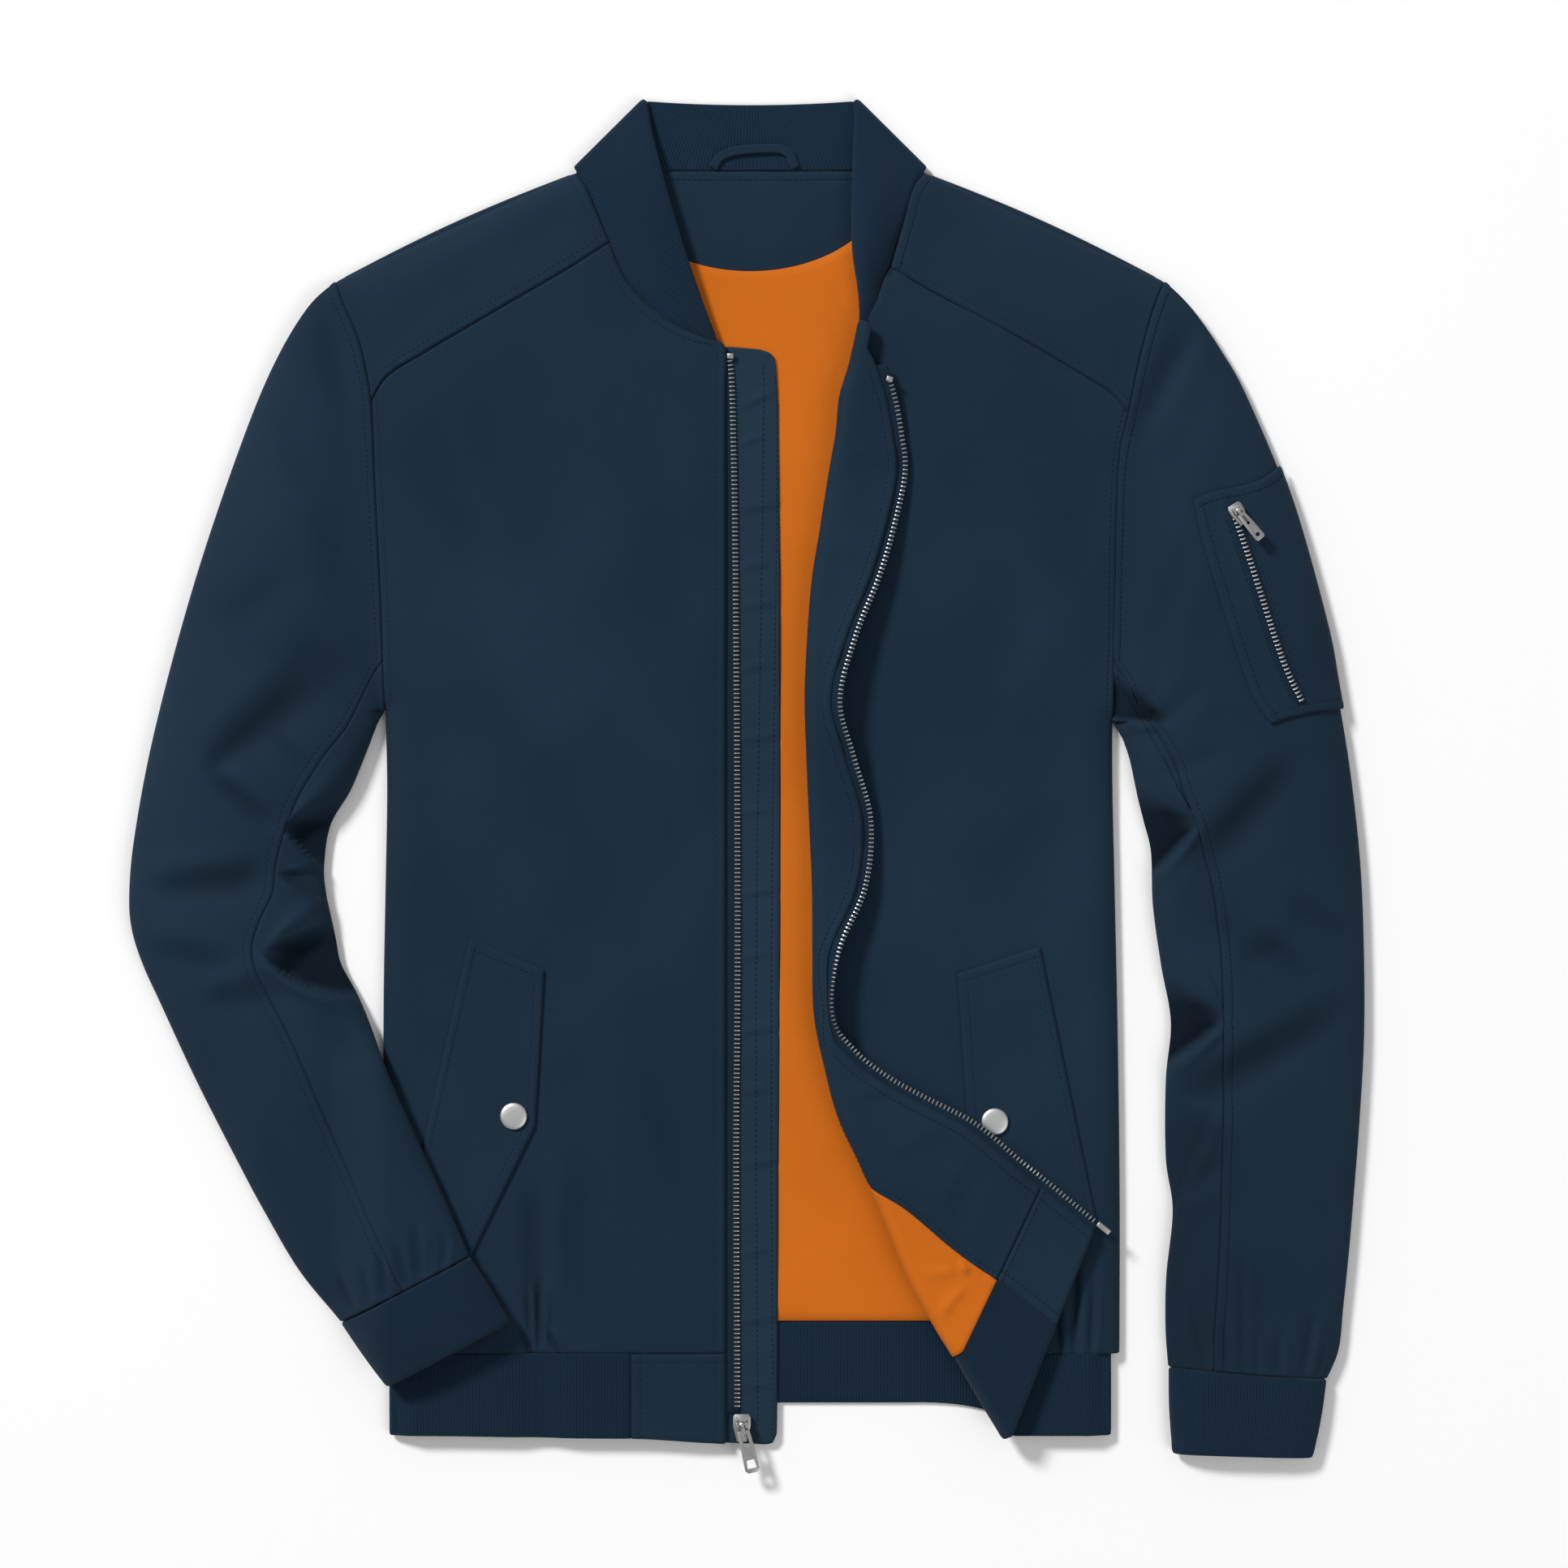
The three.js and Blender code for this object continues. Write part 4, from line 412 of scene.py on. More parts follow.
def openEdges(on, quad, uvAt, points, around):  # the wall's free edges, and the way out at each of its points
    i, j = np.nonzero(on)
    padded = np.pad(on, 1)
    if around:
        padded[1:-1, 0], padded[1:-1, -1] = on[:, -1], on[:, 0]
    outward = np.zeros_like(points)
    middle = points[quad].mean(1)
    edges = []
    for side, (di, dj) in enumerate(((-1, 0), (0, 1), (1, 0), (0, -1))):
        free = ~padded[i + 1 + di, j + 1 + dj]
        p, q = quad[free, side], quad[free, (side + 1) % 4]
        along = unit(points[q] - points[p])
        away = (points[p] + points[q]) / 2 - middle[free]
        away = unit(away - along * (away * along).sum(-1, keepdims=True))
        np.add.at(outward, p, away)
        np.add.at(outward, q, away)
        edges.append((p, q, uvAt[free, side], uvAt[free, (side + 1) % 4]))
    return edges, unit(outward)


def facedOutward(points, quads, uvs):
    p0, p1, p2, p3 = (points[quads[:, k]] for k in range(4))
    volume = (np.cross(p0, p1) * p2).sum() + (np.cross(p0, p2) * p3).sum()
    return (quads[:, ::-1], uvs[:, ::-1]) if volume < 0 else (quads, uvs)


def wallObject(name, faceA, faceB, uv, material, cellOn=None, around=False, paintedShade=None):
    n, m = faceA.shape[:2]
    cells = m if around else m - 1
    on = np.ones((n - 1, cells), bool) if cellOn is None else cellOn
    i, j = np.nonzero(on)
    nextJ = (j + 1) % m
    quad = np.stack([i * m + j, i * m + nextJ, (i + 1) * m + nextJ, (i + 1) * m + j], -1)
    corner = np.stack([np.stack([i, i, i + 1, i + 1], -1), np.stack([j, j + 1, j + 1, j], -1)], -1)
    uvAt = uv[corner[..., 0], corner[..., 1]]
    a, b = faceA.reshape(-1, 3), faceB.reshape(-1, 3)
    edges, outward = openEdges(on, quad, uvAt, a, around)
    rims = (a + b) / 2 + outward * np.linalg.norm(a - b, axis=1, keepdims=True) * rimRound
    quads, uvs = [quad, quad[:, ::-1] + n * m], [uvAt, uvAt[:, ::-1]]
    for p, q, uvP, uvQ in edges:
        quads += [np.stack([q, p, p + 2 * n * m, q + 2 * n * m], -1),
                  np.stack([q + 2 * n * m, p + 2 * n * m, p + n * m, q + n * m], -1)]
        uvs += [np.stack([uvQ, uvP, uvP, uvQ], 1)] * 2
    points = np.vstack([a, b, rims])
    quads, uvs = facedOutward(points, np.vstack(quads), np.vstack(uvs))
    used, quads = np.unique(quads, return_inverse=True)
    made = meshObject(name, points[used], quads.reshape(-1, 4), uvs, material)
    # painted shade: the colour is darkened by it in full on the top face, not at all underneath, and by half
    # on the rims
    if paintedShade is not None:
        paintedShadeAtPoints = np.concatenate([paintedShade.ravel(), 0 * paintedShade.ravel(), 0.5 * paintedShade.ravel()])[used]
        layer = made.data.attributes.new("fold", "FLOAT", "POINT")
        layer.data.foreach_set("value", paintedShadeAtPoints.astype(np.float32))
    return made


def meshObject(name, points, faces, uvs, material, angle=80):
    mesh = bpy.data.meshes.new(name)
    mesh.from_pydata((points * mm).tolist(), [], faces.tolist())
    if uvs is not None:
        layer = mesh.uv_layers.new(name="UVMap")
        layer.data.foreach_set("uv", uvs.astype(np.float32).ravel())
    mesh.materials.append(material)
    mesh.validate()
    made = bpy.data.objects.new(name, mesh)
    bpy.context.scene.collection.objects.link(made)
    shadeSmooth(made, angle)
    return made


def shadeSmooth(made, angle):
    bpy.ops.object.select_all(action="DESELECT")
    made.select_set(True)
    bpy.context.view_layer.objects.active = made
    bpy.ops.object.shade_smooth_by_angle(angle=np.radians(angle))
    bpy.ops.object.select_all(action="DESELECT")


# Even centimetres along and across, so that the weave stays straight
def uvOf(grid, swap=False, around=False):
    runs = runsOf(grid)
    across, along = runs["first"].mean(0), runs["top"].mean(1)
    if around:
        across = np.append(across, across[-1] + np.linalg.norm(grid[:, 0] - grid[:, -1], axis=-1).mean())
    u, v = np.meshgrid(across / 10, along / 10)
    return np.stack([v, u] if swap else [u, v], -1)


areas = {}
finishOf = {"shell": navyCloth, "lining": orangeLining, "rib_knit": navyRib, "zip_tape": darkTape}


def clothPiece(part, faceA, faceB, slotName, swap=False, cellOn=None,
               around=False, paintedShade=None, material=None):
    name = part + ("_knit" if slotName == "rib_knit" else "_cloth")
    uv = uvOf(faceA, swap, around)
    made = wallObject(name, faceA, faceB, uv, material or finishOf[slotName], cellOn, around, paintedShade)
    areas[name] = sum(p.area for p in made.data.polygons) / 2
    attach(made, "jacket")
    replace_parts(made, part)


# Sewing: lines read off a piece's face, and one stitch repeated along them

seams = {"navy": [], "orange": []}


# A line beside an edge of a face, from one share of its length to another, and the way out along it
def lineOn(face, edge, start=0.0, end=1.0, up=1, inside=sewing["line"]):
    grid = face if edge in ("first", "last") else face.transpose(1, 0, 2)
    facing = normalsOf(face) * up
    facing = facing if edge in ("first", "last") else facing.transpose(1, 0, 2)
    run = runsOf(grid)["first" if edge in ("first", "top") else "last"]
    points, out = [], []
    for row, far, normal in zip(grid, run, facing):
        order = np.argsort(far)
        points.append([np.interp(inside, far[order], row[order, k]) for k in range(3)])
        out.append([np.interp(inside, far[order], normal[order, k]) for k in range(3)])
    return cutLine(np.array(points), unit(np.array(out)), start, end)


def cutLine(points, out, start, end):
    run = np.concatenate([[0], np.cumsum(np.linalg.norm(np.diff(points, axis=0), axis=1))])
    at = np.linspace(start * run[-1], end * run[-1], max(int((end - start) * run[-1] / 1.5), 2))
    return (np.stack([np.interp(at, run, points[:, k]) for k in range(3)], -1),
            unit(np.stack([np.interp(at, run, out[:, k]) for k in range(3)], -1)))


def sew(line, thread="navy"):
    seams[thread].append(line)


def repeated(name, shape, faces, lines, pitch, size, lift, material):
    points, count = [], 0
    for path, out in lines:
        run = np.concatenate([[0], np.cumsum(np.linalg.norm(np.diff(path, axis=0), axis=1))])
        at = np.arange(pitch * 0.5, run[-1] - pitch * 0.3, pitch)
        if not len(at):
            continue
        centre = np.stack([np.interp(at, run, path[:, k]) for k in range(3)], -1)
        ahead = np.stack([np.interp(at + 0.4, run, path[:, k]) for k in range(3)], -1)
        behind = np.stack([np.interp(at - 0.4, run, path[:, k]) for k in range(3)], -1)
        normal = unit(np.stack([np.interp(at, run, out[:, k]) for k in range(3)], -1))
        along = unit(ahead - behind)
        side = unit(np.cross(normal, along))
        normal = np.cross(along, side)
        centre = centre + normal * lift
        local = shape * np.array(size)
        points.append(centre[:, None] + local[None, :, :1] * along[:, None]
                      + local[None, :, 1:2] * side[:, None] + local[None, :, 2:] * normal[:, None])
        count += len(at)
    points = np.concatenate(points).reshape(-1, 3)
    whole = (np.arange(count)[:, None, None] * len(shape) + faces[None]).reshape(-1, faces.shape[1])
    return meshObject(name, points, whole, None, material, 50)


toothBevel = 0.17  # a share of the tooth's size


def modelled(operator, **settings):  # a small shape made once with an operator, as points and triangles
    bpy.ops.object.select_all(action="DESELECT")
    operator(**settings)
    made = bpy.context.active_object
    bpy.ops.object.mode_set(mode="EDIT")
    bpy.ops.mesh.select_all(action="SELECT")
    if settings.get("size"):
        bpy.ops.mesh.bevel(offset=toothBevel, segments=1, affect="EDGES")
        bpy.ops.mesh.select_all(action="SELECT")
    bpy.ops.mesh.quads_convert_to_tris()
    bpy.ops.mesh.normals_make_consistent(inside=False)
    bpy.ops.object.mode_set(mode="OBJECT")
    points = np.array([v.co for v in made.data.vertices])
    faces = np.array([list(p.vertices) for p in made.data.polygons])
    bpy.data.objects.remove(made)
    return points, faces


# The body: the edges where each front meets its sleeve, and the rows across each front

rightEdge = tableOf(
    "y x", (282, -230), (268, -225), (250, -217), (235, -213), (215, -209.5), (165, -207), (105, -204),
    (42.5, -202), (0, -201), (-60, -202), (-120, -203), (-230, -203), (-330, -203))
leftEdge = tableOf(
    "y x", (282, 230), (265, 223), (240, 216), (208, 209), (185, 204), (150, 202), (80, 201), (36, 200),
    (0, 200), (-45, 201), (-140, 203), (-228, 204), (-330, 203.8))
edgeOf = {-1: through(rightEdge["y"], rightEdge["x"]), 1: through(leftEdge["y"], leftEdge["x"])}
armpitY = {-1: 42.5, 1: 36.0}
rightRows = tableOf(
    "inX inY outY", (-78, 301, 214), (-70, 282, 196), (-58, 267.5, 180), (-43, 256, 165), (-28, 249, 150),
    (-14.5, 244, 136), (-14, 222, 115), (-14, 192, 92), (-14, 155, 68), (-14, 112, 42.5), (-14, 60, 5),
    (-14, 0, -40), (-14, -60, -80), (-14, -120, -130), (-14, -185, -190), (-14, -250, -250),
    (-14, -313, -313))
leftRows = tableOf(
    "inX inY outY", (78, 287, 207), (74, 280, 195), (69.5, 268, 184), (62, 257, 172), (59.5, 247, 160),
    (56, 232, 145), (51, 215, 125), (49, 195, 105), (45, 172, 84), (40, 140, 60), (36, 115, 36),
    (33.5, 85, 10), (32, 50, -18), (33, 15, -42), (34.5, -20, -65), (36, -55, -88), (36.3, -90, -112),
    (37, -125, -140), (43, -155, -165), (50, -181, -188), (62, -207, -212), (75, -237, -240),
    (90, -273, -275), (105, -300, -300), (113, -313, -313))
foldFirstRow = 3
turnedRows = tableOf(
    "zipX zipY lift roll", (65, 256, 8, 8), (67, 246, 8, 8), (74, 233, 7, 8), (80, 214, 5, 8),
    (83.5, 195, 4, 8), (85.5, 173, 4, 8), (78.5, 140, 7, 8), (70.5, 114, 10, 9), (58.5, 84, 13, 10),
    (49.5, 48, 15, 11), (57, 17, 11, 10), (66.5, -18, 6, 9), (63.5, -55, 8, 9), (49, -90, 13, 10),
    (45, -125, 15, 11), (58, -145, 12, 11), (77, -160, 9, 10), (97, -171, 9, 9), (124, -185, 10, 9),
    (147, -204, 9, 9), (157, -212, 7, 9), (162, -216, 6.5, 9), (191, -240, 6, 9))
facingWidth = 61.0
zipReach = 5.0
frontFolds = tableOf(
    foldNames, (-117, -312, -118, -205, 9, 13, 2.2, 0.3), (-90, -250, -40, -180, 16, 20, 0.5, 0.3))


def rounded(distance):
    return np.sqrt(1 - (1 - np.clip(distance / lie["reach"], 0, 1)) ** 2)


def frontTop(x, y):  # the top of the fronts and yokes over a point
    x, y = np.broadcast_arrays(np.asarray(x, float), np.asarray(y, float))
    pit = np.where(x < 0, armpitY[-1], armpitY[1])
    low = np.minimum(y, pit)
    inFrom = np.abs(np.where(x < 0, edgeOf[-1](low), edgeOf[1](low))) - np.abs(x)
    above = np.maximum(0, y - pit)
    fromSide = np.where(above > 0, np.hypot(inFrom, above), inFrom)
    slope = (shoulder["neckY"] - shoulder["endY"]) / (shoulder["endX"] - shoulder["neckX"])
    lineY = shoulder["neckY"] - (np.abs(x) - shoulder["neckX"]) * slope
    fromShoulder = (lineY - y) / np.hypot(1, slope)
    dip = np.where(x < 0, lie["closingDip"] * np.exp(-((x + 14) / lie["dipReach"]) ** 2), 0)
    rise = lie["rise"] * rounded(fromSide) * rounded(fromShoulder)
    return lie["edgeTop"] + np.maximum(0, rise - dip - pressed(frontFolds, x, y))


yokeSeam = {-1: planCurve((-208.9, 214), (-201, 226.5), (-180, 240), (-141, 263), (-100, 287), (-78, 301)),
            1: planCurve((208.9, 207), (201, 216.5), (180, 230), (141, 252.5), (100, 274), (78, 287))}
neckline = {-1: planCurve((-97, 340), (-91.5, 332), (-84.5, 316), (-78, 301)),
            1: planCurve((97, 340), (91, 332), (85.5, 313), (78, 287))}
rightFront = columnsOf(rightRows)
leftFront = columnsOf(joinTables(leftRows, tableOf("inX inY outY", (140, -359, -358))))
turned = columnsOf(turnedRows)
rightEnd = len(rightRows["inX"]) - 1
leftEnd = len(leftRows["inX"]) - 1
leftLast = leftEnd - 0.006  # the left front's last row above the hem's seam
hemFirst, hemLast = leftEnd + 0.012, leftEnd + 1  # the hem's rows, turned back with the front


def frontPlan(side, rows, across, row):  # across from the outer edge, 0, to the inner edge, 1
    outY = rows["outY"](row)
    point = stacked(mix(edgeOf[side](outY), rows["inX"](row), across), mix(outY, rows["inY"](row), across), 0)
    startY = rows["outY"](0)
    straight = stacked(mix(edgeOf[side](startY), rows["inX"](0), across), mix(startY, rows["inY"](0), across),
                       0)
    fade = np.clip(1 - row / 4, 0, 1) ** 2
    seam = yokeSeam[side](across)
    point[..., :2] += (seam - straight[..., :2]) * fade[..., None]
    return point


def gridOf(rowValues, columnValues):
    return np.meshgrid(columnValues, rowValues)


# Small creases, listed one by one, in the fronts
frontCreases = tableOf(
    creaseNames, (-119, -214, -117, -290, 7, 1.5), (-117, -272, -117, -312, 2.3, 3.0),
    (-128, -297, -120, -315, 1.8, 2.2), (-113, -299, -104, -315, 1.8, 2.2),
    (-123, -276, -121, -314, 1.9, 1.6), (168, -268, 171, -318, 2.4, 1.8),
    (180, -258, 179, -318, 2.6, 2.0), (190, -274, 188, -318, 2.2, 1.6), (-186, 205, -150, 120, 14, 0.9),
    (-60, 200, -40, 60, 18, 0.8), (-160, 60, -90, -20, 20, 0.9), (150, 120, 110, 20, 20, 0.9),
    (186, 190, 170, 110, 14, 0.9), (-34, -250, -62, -130, 12, 1.0), (120, -60, 170, -10, 18, 0.8),
    (-92, -300, -96, -190, 8, 1.0), (150, -300, 140, -200, 9, 0.9))
looseFront = 0.8  # how high the front's slow unevenness stands


def looseOver(x, y):  # the front's unevenness over a point away from its ends
    side = np.abs(np.where(x < 0, edgeOf[-1](y), edgeOf[1](y))) - np.abs(x)
    return sway(x, y, looseFront) * smooth(side, 0, 25)


def frontHeight(x, y, runs, edges):  # the laid height with creases and the form of the sewn edges
    z = frontTop(x, y) + creased(frontCreases, x, y)
    inner = np.minimum.reduce([runs[k] for k in runs])
    z = z + sway(x, y, looseFront) * smooth(inner, 0, 25)
    for edge, stitched in edges.items():
        z = z + sewn(runs[edge], stitched)
    return z


rightFrontCut = {"long": 560, "wide": 180, "step": 3.2, "cut": (0.24, 0.60, 0.115)}


def buildRightFront():
    gathers = np.linspace(0.93, 0.985, 22)  # closer rows where the cloth is gathered above the hem
    down = placesOf(rightFrontCut["long"], rightFrontCut["step"], True, True)
    rows = np.unique(np.concatenate([down, gathers]))
    rows = rows * (rightEnd - 0.024) + 0.02
    wide = placesOf(rightFrontCut["wide"], rightFrontCut["step"], True, True)
    across, row = gridOf(rows, np.unique(np.concatenate([wide, np.linspace(0.39, 0.54, 30)])))
    plan = frontPlan(-1, rightFront, across, row)
    x, y = plan[..., 0], plan[..., 1]
    z = frontHeight(x, y, runsOf(plan), {"first": False, "last": True, "top": False, "bottom": False})
    top = stacked(x, y, z)
    clothPiece("front_right", top, top - [0, 0, thick["shell"]], "shell",
               paintedShade=paintedShadeOf(x, y, frontCreases))
    sew(lineOn(top, "last"))
    sew(lineOn(top, "first", 0, 0.42, inside=4))


yokeCut = {"long": 78, "wide": 150, "step": 3.2, "cut": (0.17, 0.13, 0.0098)}


def buildYoke(side, name):
    down = placesOf(yokeCut["long"], yokeCut["step"], True, True) * 0.993
    across, down = gridOf(down, placesOf(yokeCut["wide"], yokeCut["step"], True, True))
    seamEnd = 214 if side < 0 else 207

    def edgeY(share):
        return mix(shoulder["endY"], seamEnd, share)
    outer = np.stack([edgeOf[side](edgeY(down)), edgeY(down)], -1)
    inner = neckline[side](down)
    top = np.stack([side * mix(shoulder["endX"], shoulder["neckX"], across),
                    mix(shoulder["endY"], shoulder["neckY"], across) + 3 * np.sin(np.pi * across)], -1)
    bottom = yokeSeam[side](across)
    a, d = across[..., None], down[..., None]
    headA = mix(np.array([edgeOf[side](edgeY(0)), edgeY(0)]), neckline[side](0), a)
    headB = mix(yokeSeam[side](0), neckline[side](1), a)
    plan = mix(outer, inner, a) + mix(top, bottom, d) - mix(headA, headB, d)
    plan = stacked(plan[..., 0], plan[..., 1], 0)
    x, y = plan[..., 0], plan[..., 1]
    z = frontHeight(x, y, runsOf(plan), {"first": False, "last": True, "top": False, "bottom": True})
    face = stacked(x, y, z)
    clothPiece(name, face, face - [0, 0, thick["shell"]], "shell")
    sew(lineOn(face, "bottom", 0.01, 0.99, -1))
    sew(lineOn(face, "last", 0.1, 1, -side))


def frontMid(x, y):
    return frontTop(x, y) - thick["shell"] / 2


def foldAt(row):  # the fold at a row: its outermost point, the way into the panel and the radius of its roll
    step = 0.2
    edge = np.stack([leftFront["inX"](row), leftFront["inY"](row)], -1)
    along = unit(np.stack([leftFront[k](row + step) - leftFront[k](row - step) for k in ("inX", "inY")], -1))
    inward = np.stack([-along[..., 1], along[..., 0]], -1)
    radius = turned["roll"](row - foldFirstRow) / 2
    return edge, inward, radius, edge + inward * radius[..., None]


def zipPlace(row):
    return np.stack([turned["zipX"](row - foldFirstRow), turned["zipY"](row - foldFirstRow)], -1)


def turnedLength(row):
    return np.linalg.norm(foldAt(row)[3] - zipPlace(row), axis=-1)


def turnedPoint(reach, row):  # reach in millimetres from the roll to the teeth, below 0 around the roll
    reach, row = np.broadcast_arrays(np.asarray(reach, float), np.asarray(row, float))
    edge, inward, radius, centre = foldAt(row)
    lowZ = frontMid(centre[..., 0], centre[..., 1])
    angle = np.minimum(-np.minimum(reach, 0) / radius, np.pi)
    rollXY = centre - inward * (radius * np.sin(angle))[..., None]
    rollZ = lowZ + radius * (1 + np.cos(angle))
    share = reach / np.maximum(turnedLength(row), 1)
    flatXY = mix(centre, zipPlace(row), share[..., None])
    stand = mix(2 * radius, turned["lift"](row - foldFirstRow), smooth(share, 0, 1))
    flatZ = mix(lowZ, frontMid(flatXY[..., 0], flatXY[..., 1]), smooth(share, 0, 0.5)) + stand
    rolled = reach < 0
    xy = np.where(rolled[..., None], rollXY, flatXY)
    return stacked(xy[..., 0], xy[..., 1], np.where(rolled, rollZ, flatZ))


# Creases in the part that is folded back, laid in its own way: from the fold to the zip
turnedCreases = tableOf(
    creaseNames, (60, 240, 78, 205, 5, 0.9), (52, 180, 80, 168, 6, 0.5), (44, 128, 66, 118, 5, 0.6),
    (40, 70, 52, 60, 4, 0.7), (36, 26, 58, 4, 5, 0.8), (40, -30, 62, -40, 6, 0.6),
    (38, -82, 50, -70, 4, 0.6), (46, -140, 62, -150, 4, 0.7), (60, -178, 84, -172, 5, 0.7),
    (80, -215, 112, -196, 7, 0.7), (112, -240, 128, -206, 6, 0.6))
liningCreases = tableOf(
    creaseNames, (80, -232, 112, -262, 4, 2.2), (95, -275, 130, -268, 3, 2.4),
    (104, -300, 124, -276, 3, 2.2), (84, -250, 104, -252, 3, 1.8), (112, -258, 116, -272, 2.2, 1.8),
    (120, -262, 128, -276, 2, 1.2))


def settled(points, folds, fade=1.0, lowest=-0.12):
    x, y = points[..., 0], points[..., 1]
    return points + stacked(0, 0, np.maximum(creased(folds, x, y) + sway(x, y, 0.25), lowest) * fade)


leftFrontCut = {"long": 500, "wide": 160, "turned": 90, "step": 3.4, "rolls": 12, "cut": (0.24, 0.60, 0.115)}


def turnedFace(rows, reaches):  # reaches: a grid of millimetres, a row for each of rows
    return turnedPoint(reaches, rows[:, None])


def endOfCloth(rows):  # how far the turned cloth reaches before the zip's teeth
    return np.maximum(turnedLength(rows) - zipReach, 1.6)


def lyingPart(across, row):  # the part that lies face up, down to the start of the roll
    plan = frontPlan(1, leftFront, across, row)
    _, inward, radius, _ = foldAt(np.maximum(row, foldFirstRow))
    folded = smooth(row, foldFirstRow - 0.5, foldFirstRow)
    plan[..., :2] += inward * (radius * folded * across**4)[..., None]
    runs = runsOf(plan)
    runs["last"] = runs["last"] + 30 * folded
    x, y = plan[..., 0], plan[..., 1]
    inside = frontHeight(x, y, runs, {"first": False, "top": False, "bottom": False}) - thick["shell"] / 2
    plan[..., 2] = mix(inside, frontMid(x, y), smooth(across, 0.9, 1))
    return plan


def turnedPart(rows):  # the roll, and the part that lies face down as far as the zip
    angles = np.linspace(np.pi, 0, leftFrontCut["rolls"] + 1)[1:]
    flat = placesOf(leftFrontCut["turned"], leftFrontCut["step"], False, True)[1:]
    reaches = [-angles * foldAt(rows)[2][:, None], flat * endOfCloth(rows)[:, None]]
    return turnedFace(rows, np.concatenate(reaches, 1))


def buildLeftFront():
    step = leftFrontCut["step"]
    above = placesOf(60, step, True) * 2.9 + 0.03
    above = above[above < foldFirstRow - 0.05]
    below = foldFirstRow + placesOf(leftFrontCut["long"], step, False, True) * (leftLast - foldFirstRow)
    rows = np.concatenate([above, below])
    gathers = np.linspace(0.08, 0.4, 24)
    base = np.unique(np.concatenate([placesOf(leftFrontCut["wide"], step, True, False), gathers]))
    across, row = gridOf(rows, base)
    grid = np.concatenate([lyingPart(across, row), turnedPart(np.maximum(rows, foldFirstRow))], 1)
    out = normalsOf(grid) * thick["shell"] / 2
    on = np.ones((len(rows) - 1, grid.shape[1] - 1), bool)
    on[: len(above), len(base) - 1:] = False
    paintedShade = paintedShadeOf(grid[..., 0], grid[..., 1], frontCreases)
    paintedShade[:, len(base):] = 0
    clothPiece("front_left", grid + out, grid - out, "shell", cellOn=on,
               paintedShade=paintedShade)
    sew(lineOn((grid + out)[:, : len(base)], "first", 0, 0.42, inside=4))


onShell = thick["shell"] / 2 + gap
facingCut = {"step": 2.6, "cut": (0.061, 0.57, 0.0205)}
turnedAt = foldFirstRow + placesOf(500, 3.0, False, True) * (leftLast - foldFirstRow)


def startOfFacing(rows):
    return np.maximum(-0.664 * np.pi * foldAt(rows)[2], turnedLength(rows) - facingWidth)


def buildFacing():
    rows = turnedAt
    start = startOfFacing(rows)
    shares = placesOf(60, facingCut["step"], True, True)
    reaches = mix(start[:, None], endOfCloth(rows)[:, None], shares)
    grid = turnedFace(rows, reaches)
    out = -normalsOf(grid)
    runs = runsOf(grid)
    height = sewn(runs["last"]) + sewn(runs["bottom"], False)
    lying = smooth(reaches, -1, 6)
    grid = settled(grid, turnedCreases, lying * 2.2, -0.05) + out * (height * lying)[..., None]
    low, high = grid + out * onShell, grid + out * (onShell + thick["facing"])
    clothPiece("facing_left", high, low, "shell")
    sew(lineOn(high, "last", 0.06, 1, -1))
    sew(lineOn(high, "first", 0.78, 1, -1, inside=3))


leftLiningCut = {"step": 2.6, "cut": (0.07, 0.11, 0.0034)}


def buildLeftLining():
    rows = np.linspace(19.6, leftLast, 48)
    rows = rows[startOfFacing(rows) > -0.6 * np.pi * foldAt(rows)[2]]
    start = -0.664 * np.pi * foldAt(rows)[2]
    end = startOfFacing(rows) - gap
    reaches = mix(start[:, None], end[:, None], placesOf(70, leftLiningCut["step"], False, True))
    grid = turnedFace(rows, reaches)
    out = -normalsOf(grid)
    runs = runsOf(grid)
    lying = smooth(reaches, -3, 5) * smooth(runs["last"], 0, 5)
    grid = settled(grid, liningCreases, lying) + out * (sewn(runs["last"], False))[..., None]
    low, high = grid + out * onShell, grid + out * (onShell + thick["lining"])
    clothPiece("lining_left", high, low, "lining")


leftZip = {"firstRow": 5.45}


def buildLeftTape():
    rows = np.concatenate([turnedAt[turnedAt > 4.9], np.linspace(leftEnd + 0.014, leftEnd + 1, 20)])
    length = turnedLength(rows)
    start = endOfCloth(rows) - 4
    end = np.maximum(length, start + 6) + 1
    grid = turnedFace(rows, mix(start[:, None], end[:, None], np.linspace(0, 1, 8)))
    out = -normalsOf(grid)
    clothPiece("zip_tape_left", grid + out * 0.4, grid - out * 0.4, "zip_tape")
    teethRows = np.linspace(leftZip["firstRow"], leftEnd + 0.97, 400)
    points = turnedPoint(turnedLength(teethRows), teethRows)
    side = turnedPoint(turnedLength(teethRows) - 3, teethRows)
    along = np.gradient(points, axis=0)
    up = unit(np.cross(points - side, along))
    up = up * np.sign(up[:, 2:])
    return points, up


# The sleeves: flattened tubes with a level underside

sleeveNames = "inX inY outX outY seam crown"
rightSleeveRows = tableOf(
    sleeveNames, (-202, 42.5, -230, 280, 0.115, 9.1), (-204, 39, -245, 265, 0.11, 12),
    (-206, 35, -262, 237, 0.105, 14.5), (-208, 30, -278, 200, 0.105, 16), (-213, 17, -300, 137, 0.12, 18),
    (-221, -2, -317, 80, 0.175, 18), (-232, -21, -332, 20, 0.2, 17), (-235.5, -43, -341, -30, 0.235, 17),
    (-234.5, -58, -343.5, -60, 0.26, 18), (-232, -70, -342, -79, 0.34, 18),
    (-229, -84, -336, -98, 0.42, 17), (-226, -98, -326, -120, 0.43, 17),
    (-215, -119, -306, -163, 0.42, 17), (-198, -160, -282, -210, 0.43, 16),
    (-186, -187, -268, -236, 0.445, 15), (-170, -222, -249, -268, 0.465, 14),
    (-154, -258, -226, -296, 0.5, 12))
